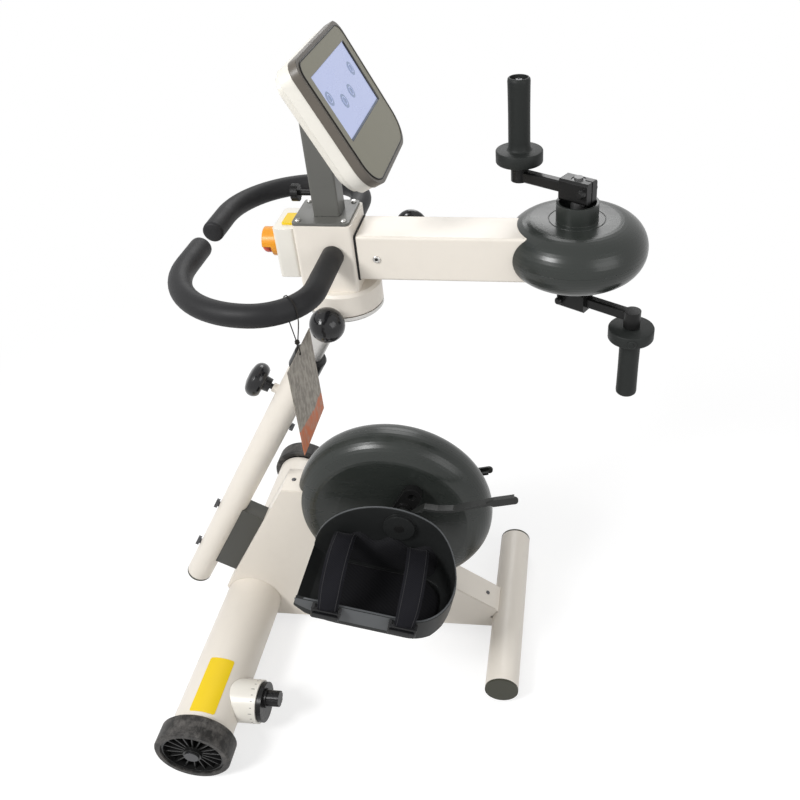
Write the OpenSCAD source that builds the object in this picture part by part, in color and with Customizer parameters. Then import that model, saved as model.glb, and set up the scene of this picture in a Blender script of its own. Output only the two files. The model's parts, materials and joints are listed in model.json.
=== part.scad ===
// Arm and leg ergometer: a low stand with a leg crank, a leaning telescopic
// column, and a swivelling head that carries the console, the handlebar and
// the arm crank. X runs from the front stand to the user, Y across, Z up.
// The middle plane is Y = 0 and the floor is Z = 0. All sizes in millimetres.

/* [Front stand] */
// Radius of the front cross tube
front_tube_r = 53.5; // [46:0.5:58]
// Length of the front cross tube
front_tube_len = 676; // [560:2:760]
// Wall of the front cross tube
front_wall = 3; // [2:0.5:5]
// Radius of a transport wheel
wheel_r = 66; // [61:0.5:74]
// Width of a transport wheel
wheel_w = 40; // [30:1:46]
// Radius of a wheel's axle
wheel_axle_r = 10; // [8:0.5:14]
// Ribs in a wheel
wheel_ribs = 18; // [12:1:24]
// Distance of the white dial from the tube's end
dial_inset = 71; // [60:1:98]
// Radius of the white dial
dial_r = 38; // [32:1:42]

/* [Rear stand] */
// Distance between the front and rear cross tubes
wheelbase = 515; // [500:1:560]
// Radius of the rear cross tube
rear_tube_r = 31; // [26:0.5:34]
// Length of the rear cross tube
rear_tube_len = 374; // [320:2:440]
// Height of a rubber foot below the rear tube
foot_h = 6; // [4:0.5:10]

/* [Housing] */
// Width of the base housing across the machine
housing_w = 60; // [56:1:70]
// Wall of the base housing
housing_wall = 3; // [2:0.5:4]
// Height of the housing's flat top
housing_top = 363; // [350:1:380]
// Height of the housing's underside
housing_under = 16; // [12:1:24]
// Thickness of a cover plate
cover_t = 2; // [1.5:0.5:3]

/* [Leg drum and crank] */
// Place of the leg crank's axis along the machine
leg_x = 308; // [300:1:320]
// Height of the leg crank's axis
leg_z = 312; // [300:1:325]
// Radius of the leg drum
leg_drum_r = 180; // [165:1:188]
// Half the width of the leg drum
leg_drum_half = 42; // [39:0.5:46]
// Wall of the drum shells
drum_wall = 3; // [2:0.5:4]
// Radius of the leg crank's shaft
leg_shaft_r = 10; // [8:0.5:12]
// Distance from the shaft to the pedal axle
leg_crank_len = 62; // [50:1:70]
// Angle of the near crank above the +X direction
leg_crank_angle = 60; // [0:1:90]
// Distance from the middle plane to a tray's wall
tray_y = 100; // [98:1:120]
// Radius of a pedal axle
pedal_r = 8; // [6:0.5:9]

/* [Foot trays] */
// Inside and outside width of a tray over its walls
tray_w = 136; // [110:1:150]
// Length of a tray from the axle to its toe end
tray_toe = 142; // [120:1:160]
// Depth of a tray's sole below its axle
tray_depth = 121; // [110:1:128]
// Radius of the arched top of a tray's wall
tray_arch_r = 132; // [122:1:136]
// Wall of a tray
tray_wall = 4; // [3:0.5:6]
// Slope of a tray, heel down, at rest
tray_tilt = 14; // [0:1:20]
// Width of a strap
strap_w = 36; // [25:1:45]

/* [Column] */
// Lean of the column towards the user
column_tilt = 30.5; // [28:0.5:33]
// Place of the column's reference point along the machine
column_x = 48.4; // [44:0.1:53]
// Outside radius of the column tube
column_r = 24; // [22.5:0.5:26]
// Wall of the column tube
column_wall = 3; // [2:0.5:3.5]
// Radius of the inner post
post_r = 18; // [15:0.5:18]
// Distance between the column's surface and the housing
bracket_gap = 37.5; // [32:0.5:44]
// Travel of the inner post
height_travel = 120; // [60:10:140]
// Distance between two height holes of the post
hole_pitch = 20; // [16:1:30]

/* [Head] */
// Place of the swivel axis along the machine
swivel_x = 273.7; // [268:0.1:280]
// Height of the turntable's lower face
head_z = 741; // [735:1:780]
// Radius of the turntable
turntable_r = 57; // [50:1:62]
// Height of the turntable
turntable_h = 37; // [30:1:40]
// Length of the head box along the machine
head_len = 85; // [78:1:96]
// Width of the head box
head_w = 84; // [80:1:96]
// Height of the head box
head_h = 104; // [98:1:115]
// Wall of the head box
head_wall = 4; // [3:0.5:6]
// Radius of a hand foam
foam_r = 16; // [14:0.5:18]
// Radius of the handlebar's steel tube
bar_r = 12.5; // [10:0.5:13]
// Reach of the handlebar to each side
bar_reach = 212; // [200:1:225]

/* [Console] */
// Width of the console
console_w = 212; // [190:1:230]
// Height of the console's face
console_h = 183; // [170:1:195]
// Thickness of the console
console_t = 44; // [36:1:50]
// Lean of the console's face
console_tilt = 28.2; // [20:0.1:34]
// Width of the screen
screen_w = 168; // [120:1:172]
// Height of the screen
screen_h = 89; // [70:1:100]
// Width of the console post
console_post_w = 37; // [30:1:40]

/* [Arm unit] */
// Distance from the swivel axis to the arm crank's axis
arm_reach = 348; // [335:0.5:365]
// Distance of the arm crank's axis from the beam's middle plane
arm_offset = 17.5; // [0:0.5:18]
// Width of the arm beam
beam_w = 72; // [66:1:78]
// Height of the arm beam
beam_h = 69; // [64:1:72]
// Wall of the arm beam
beam_wall = 3; // [2:0.5:5]
// Radius of the arm drum
arm_drum_r = 104; // [98:1:110]
// Half the height of the arm drum
arm_drum_half = 42; // [40:1:46]
// Radius of the arm crank's shaft
arm_shaft_r = 10; // [8:0.5:12]
// Distance from the shaft to a hand grip
arm_crank_len = 99; // [80:1:110]
// Angle of the arm crank from the beam
arm_crank_angle = 30.7; // [0:0.1:60]
// Radius of a hand grip
grip_r = 16; // [14:0.5:18]
// Length of a hand grip above its flange
grip_len = 100; // [85:1:120]
// Radius of a grip's flange
flange_r = 34; // [30:1:38]
// Thickness of a grip's flange
flange_t = 18; // [12:1:22]

/* [Fits] */
// Radial clearance of a running fit
running = 0.05; // [0.02:0.01:0.1]
// Radial clearance of a fixed round fit
fixed_fit = 0.1; // [0.05:0.01:0.2]
// Gap between a piece and its seat
seat = 0.3; // [0.2:0.1:0.5]

/* [Hidden] */
$fn = 64;
cream = "#E9E2D6";
charcoal = "#3A3B39";
drum_grey = "#55575A";
post_grey = "#77787A";
steel = "#B9BBBD";
black = "#1C1C1E";

// Small sizes that several pieces share
screw_r = 4;
bolt_r = 5;
tiny = 0.01;

// Levels of the two stands
front_z = wheel_r;
rear_z = rear_tube_r + foot_h;
wheel_in = front_tube_len / 2 + 2;
wheel_out = wheel_in + wheel_w;
dial_y = front_tube_len / 2 - dial_inset;
dial_depth = 43;
dial_x = front_tube_r - 8 + dial_depth;

// The column's own frame: xp is across its axis, t runs up along it
column_z = 385;
ct = cos(column_tilt);
st = sin(column_tilt);
function on_column(xp, t) = [column_x + xp * ct + t * st, column_z - xp * st + t * ct];
function t_at(xp, z) = (z - column_z + xp * st) / ct;
column_t0 = -329;
column_t1 = 288;
collar_t1 = column_t1 + 14;
bolt_ts = [-243, -121];
guide_screw_t = 138;
post_t0 = guide_screw_t - height_travel - 105;
height_pin_t = 203;
sleeve_out = column_r + 8;
housing_xp = column_r + bracket_gap;

// Levels and places of the head, from the swivel axis
base_disc_t = 8;
turn_z0 = head_z + base_disc_t + seat;
turn_z1 = turn_z0 + turntable_h;
head_z0 = turn_z1;
head_z1 = head_z0 + head_h;
head_x1 = swivel_x + 33.5;
head_x0 = head_x1 - head_len;
roll_z = head_z0 + 51.7;
roll_pin_r = 18;
plate_t = 4;
plate_z = head_z1 + plate_t;
pivot_r = 14;
seam_t = 2.4;
beam_x0 = head_x1 + seam_t + 2 * seat;
arm_x = swivel_x + arm_reach;
beam_x1 = arm_x - 50;

// The origin is on the floor, halfway between the column's foot and the lower grip
cap_t = 5;
foot_x = on_column(-column_r, column_t0 - cap_t)[0];
reach_x = arm_x + arm_crank_len * cos(arm_crank_angle) + flange_r;
middle_x = (foot_x + reach_x) / 2;

// Housing outline in the X-Z plane
rear_slope_x = 376;
rear_slope_z = 149;
rear_top_z = 64;
housing_end_x = wheelbase - 22;
housing_pts = [
    on_column(housing_xp, t_at(housing_xp, 92)),
    on_column(housing_xp, t_at(housing_xp, housing_top)),
    [340, housing_top],
    [rear_slope_x, 318],
    [rear_slope_x, rear_slope_z],
    [housing_end_x, rear_top_z],
    [housing_end_x + 16, rear_top_z - 12],
    [housing_end_x + 16, housing_under],
    [12, housing_under],
    [-40, 60]
];

// Moves each edge of a closed outline inwards by w, for clockwise points
function edge_normal(a, b) = let (d = b - a, n = norm(d)) [d[1], -d[0]] / n;
function corner(p, a, q, w) =
    let (n1 = edge_normal(p, a), n2 = edge_normal(a, q), k = 1 + n1 * n2) a + (n1 + n2) * w / k;
function inset(pts, w) = [for (i = [0 : len(pts) - 1])
    corner(pts[(i + len(pts) - 1) % len(pts)], pts[i], pts[(i + 1) % len(pts)], w)];

// Arc of points about a centre in a plane
function arc(c, r, a0, a1, n) = [for (i = [0 : n]) let (a = a0 + (a1 - a0) * i / n) c + r * [cos(a), sin(a)]];

// Places in the leg unit
crank_y0 = leg_drum_half + 6;
crank_t = 14;
crank_y1 = crank_y0 + crank_t;
pedal_boss_r = 15;
tray_boss_r = 27;
calf_y1 = tray_y - 2;
calf_w = 14;
sole_t = 4;
heel_r = tray_w / 2;
heel_u = 50;
near_rim = 43;

// Places in the arm unit, from the beam's middle outwards
hub_neck_z = 68;
hub_r = 30.5;
clamp_z0 = hub_neck_z + 2;
clamp_z1 = 101;
arm_z0 = 77.5;
arm_z1 = 94;
boss_z1 = 103;
flange_z0 = boss_z1 + 2;
grip_pin_r = 6;
grip_end = flange_z0 + flange_t + grip_len;

// Helpers

// Cylinder along +Y from y0 to y1 at a place in the X-Z plane
module rod_y(x, z, y0, y1, r) {
    translate([x, y0, z]) rotate([-90, 0, 0]) cylinder(h = y1 - y0, r = r);
}

// Cylinder along +X from x0 to x1 at a place in the Y-Z plane
module rod_x(y, z, x0, x1, r) {
    translate([x0, y, z]) rotate([0, 90, 0]) cylinder(h = x1 - x0, r = r);
}

// An outline in the X-Z plane made into a plate from y0 to y1
module plate_y(pts, y0, y1) {
    translate([0, y1, 0]) rotate([90, 0, 0]) linear_extrude(y1 - y0) polygon(pts);
}

// Puts children in the machine's frame
module in_frame() {
    translate([-middle_x, 0, 0]) children();
}

// Puts children in the column's own frame, with their Z along its axis
module column_frame() {
    translate([column_x, 0, column_z]) rotate([0, column_tilt, 0]) children();
}

// Cylinder across the column's axis, from xp0 to xp1 at height t
module rod_xp(t, xp0, xp1, r) {
    column_frame() translate([xp0, 0, t]) rotate([0, 90, 0]) cylinder(h = xp1 - xp0, r = r);
}

// Box with rounded upright edges, centred on X and Y
module rounded_box(l, w, h, r) {
    linear_extrude(h) rounded_rect(l, w, r);
}

// Rectangle with round corners, centred
module rounded_rect(l, w, r) {
    square([l - 2 * r, w], center = true);
    square([l, w - 2 * r], center = true);
    for (i = [-1, 1], j = [-1, 1])
        translate([i * (l / 2 - r), j * (w / 2 - r)]) circle(r);
}

// Pan-head screw with its head up, seated at Z = 0
module screw(head_r, head_h, shank_r, shank_l) {
    rotate_extrude() polygon([[0, -shank_l], [shank_r, -shank_l], [shank_r, 0], [head_r, 0],
        [head_r, head_h * 0.5], [head_r * 0.75, head_h], [0, head_h]]);
}

// Mirrors children to the far side when side is 1 and keeps them when -1
module to_side(side) {
    if (side < 0) children();
    else mirror([0, 1, 0]) children();
}

// Front stand

module front_tube() {
    color(cream) {
        difference() {
            rod_y(0, front_z, -front_tube_len / 2, front_tube_len / 2, front_tube_r);
            rod_y(0, front_z, -front_tube_len / 2 + 4, front_tube_len / 2 - 4, front_tube_r - front_wall);
            for (s = [-1, 1]) rod_y(0, front_z, s > 0 ? front_tube_len / 2 - 5 : -front_tube_len / 2 - 1,
                s > 0 ? front_tube_len / 2 + 1 : -front_tube_len / 2 + 5, bolt_r + fixed_fit);
        }
        for (s = [-1, 1]) to_side(s) difference() {
            rod_y(0, front_z, -wheel_out + 1, -front_tube_len / 2, wheel_axle_r);
            rod_y(0, front_z, -wheel_out, -front_tube_len / 2 + 1, bolt_r + fixed_fit);
        }
    }
}

module wheel_tyre(side) {
    shoulder = 3;
    color(charcoal) to_side(side) translate([0, -wheel_in, front_z]) rotate([90, 0, 0])
        rotate_extrude() polygon([[wheel_r - 11, 0], [wheel_r - shoulder, 0], [wheel_r, shoulder],
            [wheel_r, wheel_w - shoulder], [wheel_r - shoulder, wheel_w], [wheel_r - 11, wheel_w]]);
}

module wheel_hub(side) {
    rim_r = wheel_r - 11 - fixed_fit;
    boss_r = wheel_axle_r + 6;
    web = wheel_w * 0.45;
    color(black) to_side(side) translate([0, -wheel_in, front_z]) rotate([90, 0, 0]) difference() {
        union() {
            difference() {
                translate([0, 0, 1]) cylinder(h = wheel_w - 4, r = rim_r);
                translate([0, 0, web]) cylinder(h = wheel_w, r = rim_r - 4);
            }
            cylinder(h = wheel_w - 1 - seat, r = boss_r);
            for (i = [0 : wheel_ribs - 1]) rotate(i * 360 / wheel_ribs)
                translate([boss_r - 2, -1.2, web - 1]) cube([rim_r - boss_r, 2.4, wheel_w - web - 6]);
        }
        translate([0, 0, -1]) cylinder(h = wheel_w + 2, r = wheel_axle_r + running);
    }
}

module dial_housing() {
    color(cream) difference() {
        rod_x(-dial_y, front_z, 0, dial_x, dial_r);
        rod_y(0, front_z, -dial_y - dial_r - 5, -dial_y + dial_r + 5, front_tube_r + seat);
        translate([-60, -dial_y - dial_r - 5, front_z - front_tube_r])
            cube([60, 2 * dial_r + 10, 2 * front_tube_r]);
        rod_x(-dial_y, front_z, front_tube_r, dial_x + 1, 7 + running);
    }
}

module dial_knob() {
    x0 = dial_x + seat;
    stem_z = front_z + 13;
    color(black) {
        rod_x(-dial_y, front_z, front_tube_r + 20, x0 + 1, 7);
        rod_x(-dial_y, front_z, x0, x0 + 9, dial_r - 3);
        rod_x(-dial_y, stem_z, x0 + 8, x0 + 14, 17);
        difference() {
            rod_x(-dial_y, stem_z, x0 + 13, x0 + 36, 14);
            for (a = [0 : 45 : 315]) translate([x0 + 14, -dial_y, stem_z]) rotate([a, 0, 0])
                translate([0, -1.5, 12.5]) cube([30, 3, 4]);
        }
    }
}

// Rear stand

module rear_tube() {
    color(cream) difference() {
        rod_y(wheelbase, rear_z, -rear_tube_len / 2, rear_tube_len / 2, rear_tube_r);
        rod_y(wheelbase, rear_z, -rear_tube_len / 2 - 1, rear_tube_len / 2 + 1, rear_tube_r - 3);
    }
}

module end_caps() {
    plug_r = rear_tube_r - 3 - fixed_fit;
    color(black) {
        for (s = [-1, 1]) to_side(s) {
            rod_y(wheelbase, rear_z, -rear_tube_len / 2 - 4, -rear_tube_len / 2, rear_tube_r);
            rod_y(wheelbase, rear_z, -rear_tube_len / 2 - 1, -rear_tube_len / 2 + 18, plug_r);
        }
        column_frame() {
            translate([0, 0, column_t0 - cap_t]) cylinder(h = cap_t, r = column_r);
            translate([0, 0, column_t0 - 1]) cylinder(h = 21, r = column_r - column_wall - fixed_fit);
        }
    }
}

// Rubber saddles that rest flat on the floor under the rear tube
module rear_feet() {
    color(black) for (s = [-1, 1]) difference() {
        translate([wheelbase, s * (rear_tube_len / 2 - 30), 0]) rounded_box(38, 44, foot_h + 8, 6);
        rod_y(wheelbase, rear_z, -rear_tube_len, rear_tube_len, rear_tube_r + seat);
    }
}

// Base housing

module stand_tubes(gap) {
    rod_y(0, front_z, -housing_w, housing_w, front_tube_r + gap);
    rod_y(wheelbase, rear_z, -housing_w, housing_w, rear_tube_r + gap);
}

module housing_shell() {
    inner = inset(housing_pts, housing_wall);
    color(cream) difference() {
        plate_y(housing_pts, -housing_w / 2, housing_w / 2);
        plate_y(inner, -housing_w / 2 + housing_wall, housing_w / 2 - housing_wall);
        stand_tubes(seat);
        rod_y(leg_x, leg_z, -housing_w, housing_w, leg_shaft_r + 18);
        rod_y(housing_end_x - 10, 43, -housing_w, -housing_w / 2 + housing_wall + 1, 3);
        for (t = bolt_ts) rod_xp(t, housing_xp - 1, housing_xp + housing_wall + 2, bolt_r + fixed_fit);
        translate([124, 0, housing_top - 10]) cylinder(h = 20, r = screw_r / 2 + fixed_fit);
        rear_cover_frame() translate([rear_screw, 0, -10]) cylinder(h = 20, r = screw_r / 2 + fixed_fit);
    }
}

// Frame on the sloping rear edge: X down the slope, Z square to it
rear_slope_len = norm([housing_end_x - rear_slope_x, rear_slope_z - rear_top_z]);
rear_slope_a = atan2(rear_slope_z - rear_top_z, housing_end_x - rear_slope_x);
rear_screw = rear_slope_len - 26;
module rear_cover_frame() {
    translate([rear_slope_x, 0, rear_slope_z]) rotate([0, rear_slope_a, 0]) children();
}

module housing_covers() {
    x0 = on_column(housing_xp, t_at(housing_xp, housing_top))[0];
    color(cream) {
        difference() {
            translate([x0 + 1, -housing_w / 2 + 1, housing_top]) cube([90, housing_w - 2, cover_t]);
            translate([124, 0, housing_top - 10]) cylinder(h = 20, r = screw_r / 2 + fixed_fit);
        }
        difference() {
            rear_cover_frame() translate([4, -housing_w / 2 + 1, 0])
                cube([rear_slope_len - 8, housing_w - 2, cover_t]);
            rear_cover_frame() translate([rear_screw, 0, -10])
                cylinder(h = 20, r = screw_r / 2 + fixed_fit);
        }
    }
}

module base_screws() {
    color(steel) {
        translate([124, 0, housing_top + cover_t]) screw(screw_r, 2, screw_r / 2, 8);
        rear_cover_frame() translate([rear_screw, 0, cover_t]) screw(screw_r, 2, screw_r / 2, 8);
        for (t = bolt_ts) {
            rod_xp(t, -column_r - 2, housing_xp + housing_wall + 1, bolt_r);
            column_frame() translate([-column_r - 8, 0, t]) rotate([0, 90, 0])
                cylinder(h = 6, r = 9, $fn = 6);
        }
        rod_xp(guide_screw_t, post_r - 2, column_r + 1, screw_r - 0.5);
        column_frame() translate([column_r + 0.5, 0, guide_screw_t]) rotate([0, 90, 0])
            cylinder(h = 6, r = 7, $fn = 6);
        for (s = [-1, 1]) to_side(s) {
            rod_y(0, front_z, -wheel_out - 2, -wheel_out + 1, wheel_axle_r + 2.5);
            rod_y(0, front_z, -wheel_out, -front_tube_len / 2 + 3, bolt_r);
        }
    }
}

// Column

module column_bracket() {
    half = 16;
    t0 = bolt_ts[0] - 19;
    t1 = bolt_ts[1] + 28;
    color(charcoal) difference() {
        column_frame() translate([0, -half, t0]) cube([housing_xp - tiny, 2 * half, t1 - t0]);
        column_frame() translate([0, 0, -300]) cylinder(h = 300, r = column_r + seat);
        column_frame() translate([-1, -half - 1, -300]) cube([9, 2 * half + 2, 300]);
        for (t = bolt_ts) rod_xp(t, 0, housing_xp + 1, bolt_r + fixed_fit);
    }
}

module column_tube() {
    sleeve_r = 8;
    color(cream) difference() {
        union() {
            column_frame() translate([0, 0, column_t0]) cylinder(h = column_t1 - column_t0, r = column_r);
            rod_xp(height_pin_t, -sleeve_out, -column_r + 2, sleeve_r);
        }
        column_frame() translate([0, 0, column_t0 - 1])
            cylinder(h = column_t1 - column_t0 + 2, r = column_r - column_wall);
        for (t = bolt_ts) rod_xp(t, -column_r - 5, column_r + 5, bolt_r + fixed_fit);
        rod_xp(guide_screw_t, 0, column_r + 5, screw_r - 0.5 + fixed_fit);
        rod_xp(height_pin_t, -sleeve_out - 1, 0, 5 + running);
    }
}

module column_collar() {
    color(charcoal) column_frame() rotate_extrude() polygon([
        [post_r + running, column_t1 - 40], [column_r - column_wall - fixed_fit, column_t1 - 40],
        [column_r - column_wall - fixed_fit, column_t1 + seat], [column_r + seat, column_t1 + seat],
        [column_r + seat, column_t1 - 18], [column_r + 3, column_t1 - 18],
        [column_r + 3, collar_t1 - 3], [column_r, collar_t1], [post_r + running, collar_t1]]);
}

module inner_post() {
    t_top = t_at(0, head_z) + 60;
    groove_w = 9;
    color(steel) {
        difference() {
            union() {
                column_frame() translate([0, 0, post_t0]) cylinder(h = t_top - post_t0, r = post_r);
                column_frame() translate([0, 0, post_t0])
                    cylinder(h = 24, r = column_r - column_wall - running);
            }
            column_frame() translate([0, 0, post_t0 - 1]) cylinder(h = t_top - post_t0 + 2, r = post_r - 5);
            column_frame() translate([post_r - 2.8, -groove_w / 2, post_t0 - 1])
                cube([8, groove_w, t_top - post_t0]);
            for (k = [0 : floor(height_travel / hole_pitch)])
                rod_xp(height_pin_t - hole_pitch * k, -post_r - 1, 0, 5.2);
            translate([swivel_x - 100, -100, head_z + 1]) cube([200, 200, 120]);
        }
        translate([swivel_x, 0, head_z]) rotate_extrude() polygon([[0, 0], [turntable_r - 3, 0],
            [turntable_r, 3], [turntable_r, base_disc_t], [pivot_r, base_disc_t],
            [pivot_r, base_disc_t + 26], [0, base_disc_t + 26]]);
    }
}

// Pull knob on the column. Its pin rides just clear of the post
module height_knob() {
    color(black) rod_xp(height_pin_t, -sleeve_out - 20, -post_r - 0.6, 5);
    color(black) column_frame() translate([-sleeve_out - 4, 0, height_pin_t]) rotate([0, -90, 0])
        mushroom(30, 39, 12);
}

// Round pull knob on +Z, of radius r and height h, with a neck
module mushroom(r, h, neck_r) {
    rotate_extrude() polygon(concat([[0, 0], [neck_r, 0], [neck_r + 1, h * 0.25]],
        arc([r - h * 0.36, h * 0.6], h * 0.36, -60, 70, 8), [[r * 0.4, h], [0, h]]));
}

// Leg drum

// Outside of the drum from the middle outwards: radius and distance from Y = 0
leg_rim = leg_drum_half - 2;
function leg_profile(d) = concat(
    [[leg_shaft_r + 4, leg_drum_half - 4 - d], [100, leg_drum_half - 4 - d]],
    arc([leg_drum_r - leg_rim, leg_drum_half - leg_rim], leg_rim - d, 100, 0, 12),
    [[leg_drum_r - d, 0]]);

module leg_drum_shell(side) {
    outer = leg_profile(0);
    inner = leg_profile(drum_wall);
    n = len(inner);
    grown = inset(housing_pts, -cover_t - 0.6);
    color(drum_grey) to_side(side) difference() {
        translate([leg_x, -0.1, leg_z]) rotate([90, 0, 0]) rotate_extrude($fn = 96)
            polygon(concat(outer, [for (i = [0 : n - 1]) inner[n - 1 - i]]));
        plate_y(grown, -housing_w / 2 - seat, housing_w / 2 + seat);
    }
}

module leg_motor() {
    half = 11;
    color(post_grey) difference() {
        union() {
            rod_y(leg_x, leg_z, -half, half, 46);
            for (a = [30 : 60 : 330]) translate([leg_x, 0, leg_z]) rotate([0, a, 0])
                translate([44, -half, -7]) cube([4, 2 * half, 14]);
        }
        rod_y(leg_x, leg_z, -half - 1, half + 1, leg_shaft_r + 2);
    }
}

module leg_bearings() {
    inside = housing_w / 2 - housing_wall;
    color(steel) for (s = [-1, 1]) to_side(s) difference() {
        union() {
            rod_y(leg_x, leg_z, -inside, -11 - seat, leg_shaft_r + 14);
            rod_y(leg_x, leg_z, -inside, -inside + 5, leg_shaft_r + 26);
        }
        rod_y(leg_x, leg_z, -housing_w, 0, leg_shaft_r + running);
    }
}

module leg_shaft() {
    color(steel) rod_y(leg_x, leg_z, -crank_y1 + 1, crank_y1 - 1, leg_shaft_r);
}

// Crank arm with its pedal axle, in the X-Z plane at Y = -crank_y1 .. -crank_y0
module leg_crank(side) {
    spare = 32;
    length = leg_crank_len + spare;
    a = side < 0 ? leg_crank_angle : leg_crank_angle + 180;
    color(black) to_side(side) translate([leg_x, 0, leg_z]) rotate([0, -a, 0]) difference() {
        union() {
            rod_y(0, 0, -crank_y1, -crank_y0, 21);
            rod_y(0, 0, -crank_y0 - 1, -leg_drum_half - 1, 16);
            rod_y(length, 0, -crank_y1, -crank_y0, 17);
            translate([0, -crank_y1, -17]) cube([length, crank_t, 34]);
            rod_y(leg_crank_len, 0, -tray_y - 12, -crank_y1 + 2, pedal_r);
            rod_y(leg_crank_len, 0, -crank_y1 - 4, -crank_y1 + 1, pedal_r + 5);
        }
        rod_y(0, 0, -crank_y1 - 1, -leg_drum_half, leg_shaft_r + fixed_fit);
        rod_y(length, 0, -crank_y1 - 1, -crank_y0 + 1, pedal_r - 1);
    }
}

// Foot trays

function pedal_place(side) = let (a = side < 0 ? leg_crank_angle : leg_crank_angle + 180)
    [leg_x + leg_crank_len * cos(a), leg_z + leg_crank_len * sin(a)];

// Frame on a pedal axle at the tray's wall: X to the heel, Y inwards, Z up
module tray_frame(side) {
    p = pedal_place(side);
    to_side(side) translate([p[0], -tray_y, p[1]]) rotate([0, tray_tilt, 0]) children();
}

// Side outline of a tray, with its sole lowered by d
function tray_side(d, top) = [
    [-tray_toe - d, -tray_depth + 25 + d], [-tray_toe + 22, -tray_depth + 9 + d],
    [-tray_toe + 60, -tray_depth + 1 + d], [-tray_toe + 75, -tray_depth + d],
    [heel_u + heel_r - 26, -tray_depth + d], [heel_u + heel_r - 9, -tray_depth + 9 + d],
    [heel_u + heel_r + 1 - d, -tray_depth + 30], [heel_u + heel_r + 1 - d, top], [-tray_toe - d, top]];

// Plan outline of a tray with its walls drawn in by d
module tray_plan(d) {
    translate([-tray_toe - d, -tray_w + d]) square([tray_toe + heel_u + d, tray_w - 2 * d]);
    translate([heel_u, -heel_r]) circle(heel_r - d);
}

module foot_tray(side) {
    slope = [[1, 60], [-8, 60], [-30, -5], [-heel_r, -tray_depth + 69],
        [-tray_w - 1, -tray_depth + near_rim], [-tray_w - 1, -tray_depth - 10], [1, -tray_depth - 10]];
    color(charcoal) tray_frame(side) difference() {
        union() {
            difference() {
                intersection() {
                    translate([0, 0, -tray_depth - 5]) linear_extrude(300) tray_plan(0);
                    plate_y(tray_side(0, 100), -tray_w - 1, 1);
                    rod_y(-8, tray_arch_r - tray_depth + 25 - tray_arch_r, -tray_w - 1, 1, tray_arch_r);
                    rotate([90, 0, 90]) translate([0, 0, -tray_toe - 5]) linear_extrude(400) polygon(slope);
                }
                intersection() {
                    translate([0, 0, -tray_depth - 5]) linear_extrude(300) tray_plan(tray_wall);
                    plate_y(tray_side(sole_t, 120), -tray_w - 1, 1);
                }
            }
            rod_y(0, 0, -tray_wall - 7, -tray_wall + 1, tray_boss_r);
            rod_y(0, 0, -1, 25, pedal_boss_r);
        }
        rod_y(0, 0, -tray_wall - 8, 26, pedal_r + running);
    }
}

// Two straps over the foot: each an arched band from the wall to the near rim
module tray_straps(side) {
    rim_v = -tray_depth + near_rim;
    band = 5;
    for (u = [-85, 45]) color(black) tray_frame(side) {
        translate([u - strap_w / 2, 0, 0]) rotate([90, 0, 90]) linear_extrude(strap_w)
            strap_line(rim_v, band, wall_y(u + strap_w / 2) - seat);
        translate([u - strap_w / 2 - 6, -tray_w - 13, rim_v - 24]) cube([strap_w + 12, 12.7, 26]);
        translate([u - strap_w / 2 - 2, -tray_w - 16, rim_v - 17]) cube([strap_w + 4, 4, 12]);
    }
}

// Inner face of the tray's inner wall, which turns in round the heel
function wall_y(u) = -heel_r + sqrt(pow(heel_r - tray_wall, 2) - pow(max(0, u - heel_u), 2));

// Band outline across the tray from y0 at its inner wall: Y outwards is negative, Z up
module strap_line(rim_v, band, y0) {
    top = rim_v + 42;
    y1 = -tray_w - seat;
    mid = -tray_w / 2 - 8;
    outer = [[y0, top - 10], [y0 - 18, top + 3], [mid, top + 6], [y1 + 16, top - 6], [y1 - 7, rim_v + 10],
        [y1 - 7, rim_v - 20]];
    inner = [[y1, rim_v - 20], [y1, rim_v + 8], [y1 + 18, top - 6 - band], [mid, top + 6 - band],
        [y0 - 16, top + 3 - band], [y0, top - 10 - band - 2]];
    polygon(concat(outer, inner));
}

// Flat bent bar for a calf support, pivoted on the tray's boss
module calf_bar(side) {
    p = pedal_place(side);
    line = [[15, 13], [24, 20], [44, 35], [66, 32], [93, 34], [133, 46.5], [162, 56.5], [196, 65]];
    tip = line[len(line) - 1];
    flat = line[len(line) - 2];
    half = 2.6;
    flat_r = 7.5;
    top = [for (q = line) q + [0, half]];
    low = [for (i = [len(line) - 1 : -1 : 0]) line[i] - [0, half]];
    color(charcoal) to_side(side) translate([p[0], -calf_y1 + calf_w, p[1]]) {
        difference() {
            union() {
                plate_y(concat(top, low), -calf_w, 0);
                plate_y([flat + [-12, 0], flat + [0, flat_r], tip + [0, flat_r], tip - [0, flat_r],
                    flat - [0, flat_r]], -calf_w, -calf_w + 4);
                rod_y(tip[0], tip[1], -calf_w, -calf_w + 4, flat_r);
                rod_y(0, 0, -calf_w, 0, pedal_boss_r + 8);
            }
            rod_y(0, 0, -calf_w - 1, 1, pedal_boss_r + running);
        }
    }
}

// Head

module turntable() {
    color(cream) translate([swivel_x, 0, turn_z0]) difference() {
        rotate_extrude() polygon([
            [pivot_r + running, 0], [turntable_r - 2, 0], [turntable_r, 2], [turntable_r, turntable_h - 4],
            [turntable_r - 4, turntable_h], [0, turntable_h], [0, 28], [pivot_r + running, 28]]);
        translate([0, 0, plunger_z]) rotate(plunger_a)
            rod_x(0, 0, pivot_r, turntable_r + 1, plunger_r + running);
    }
}

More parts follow.
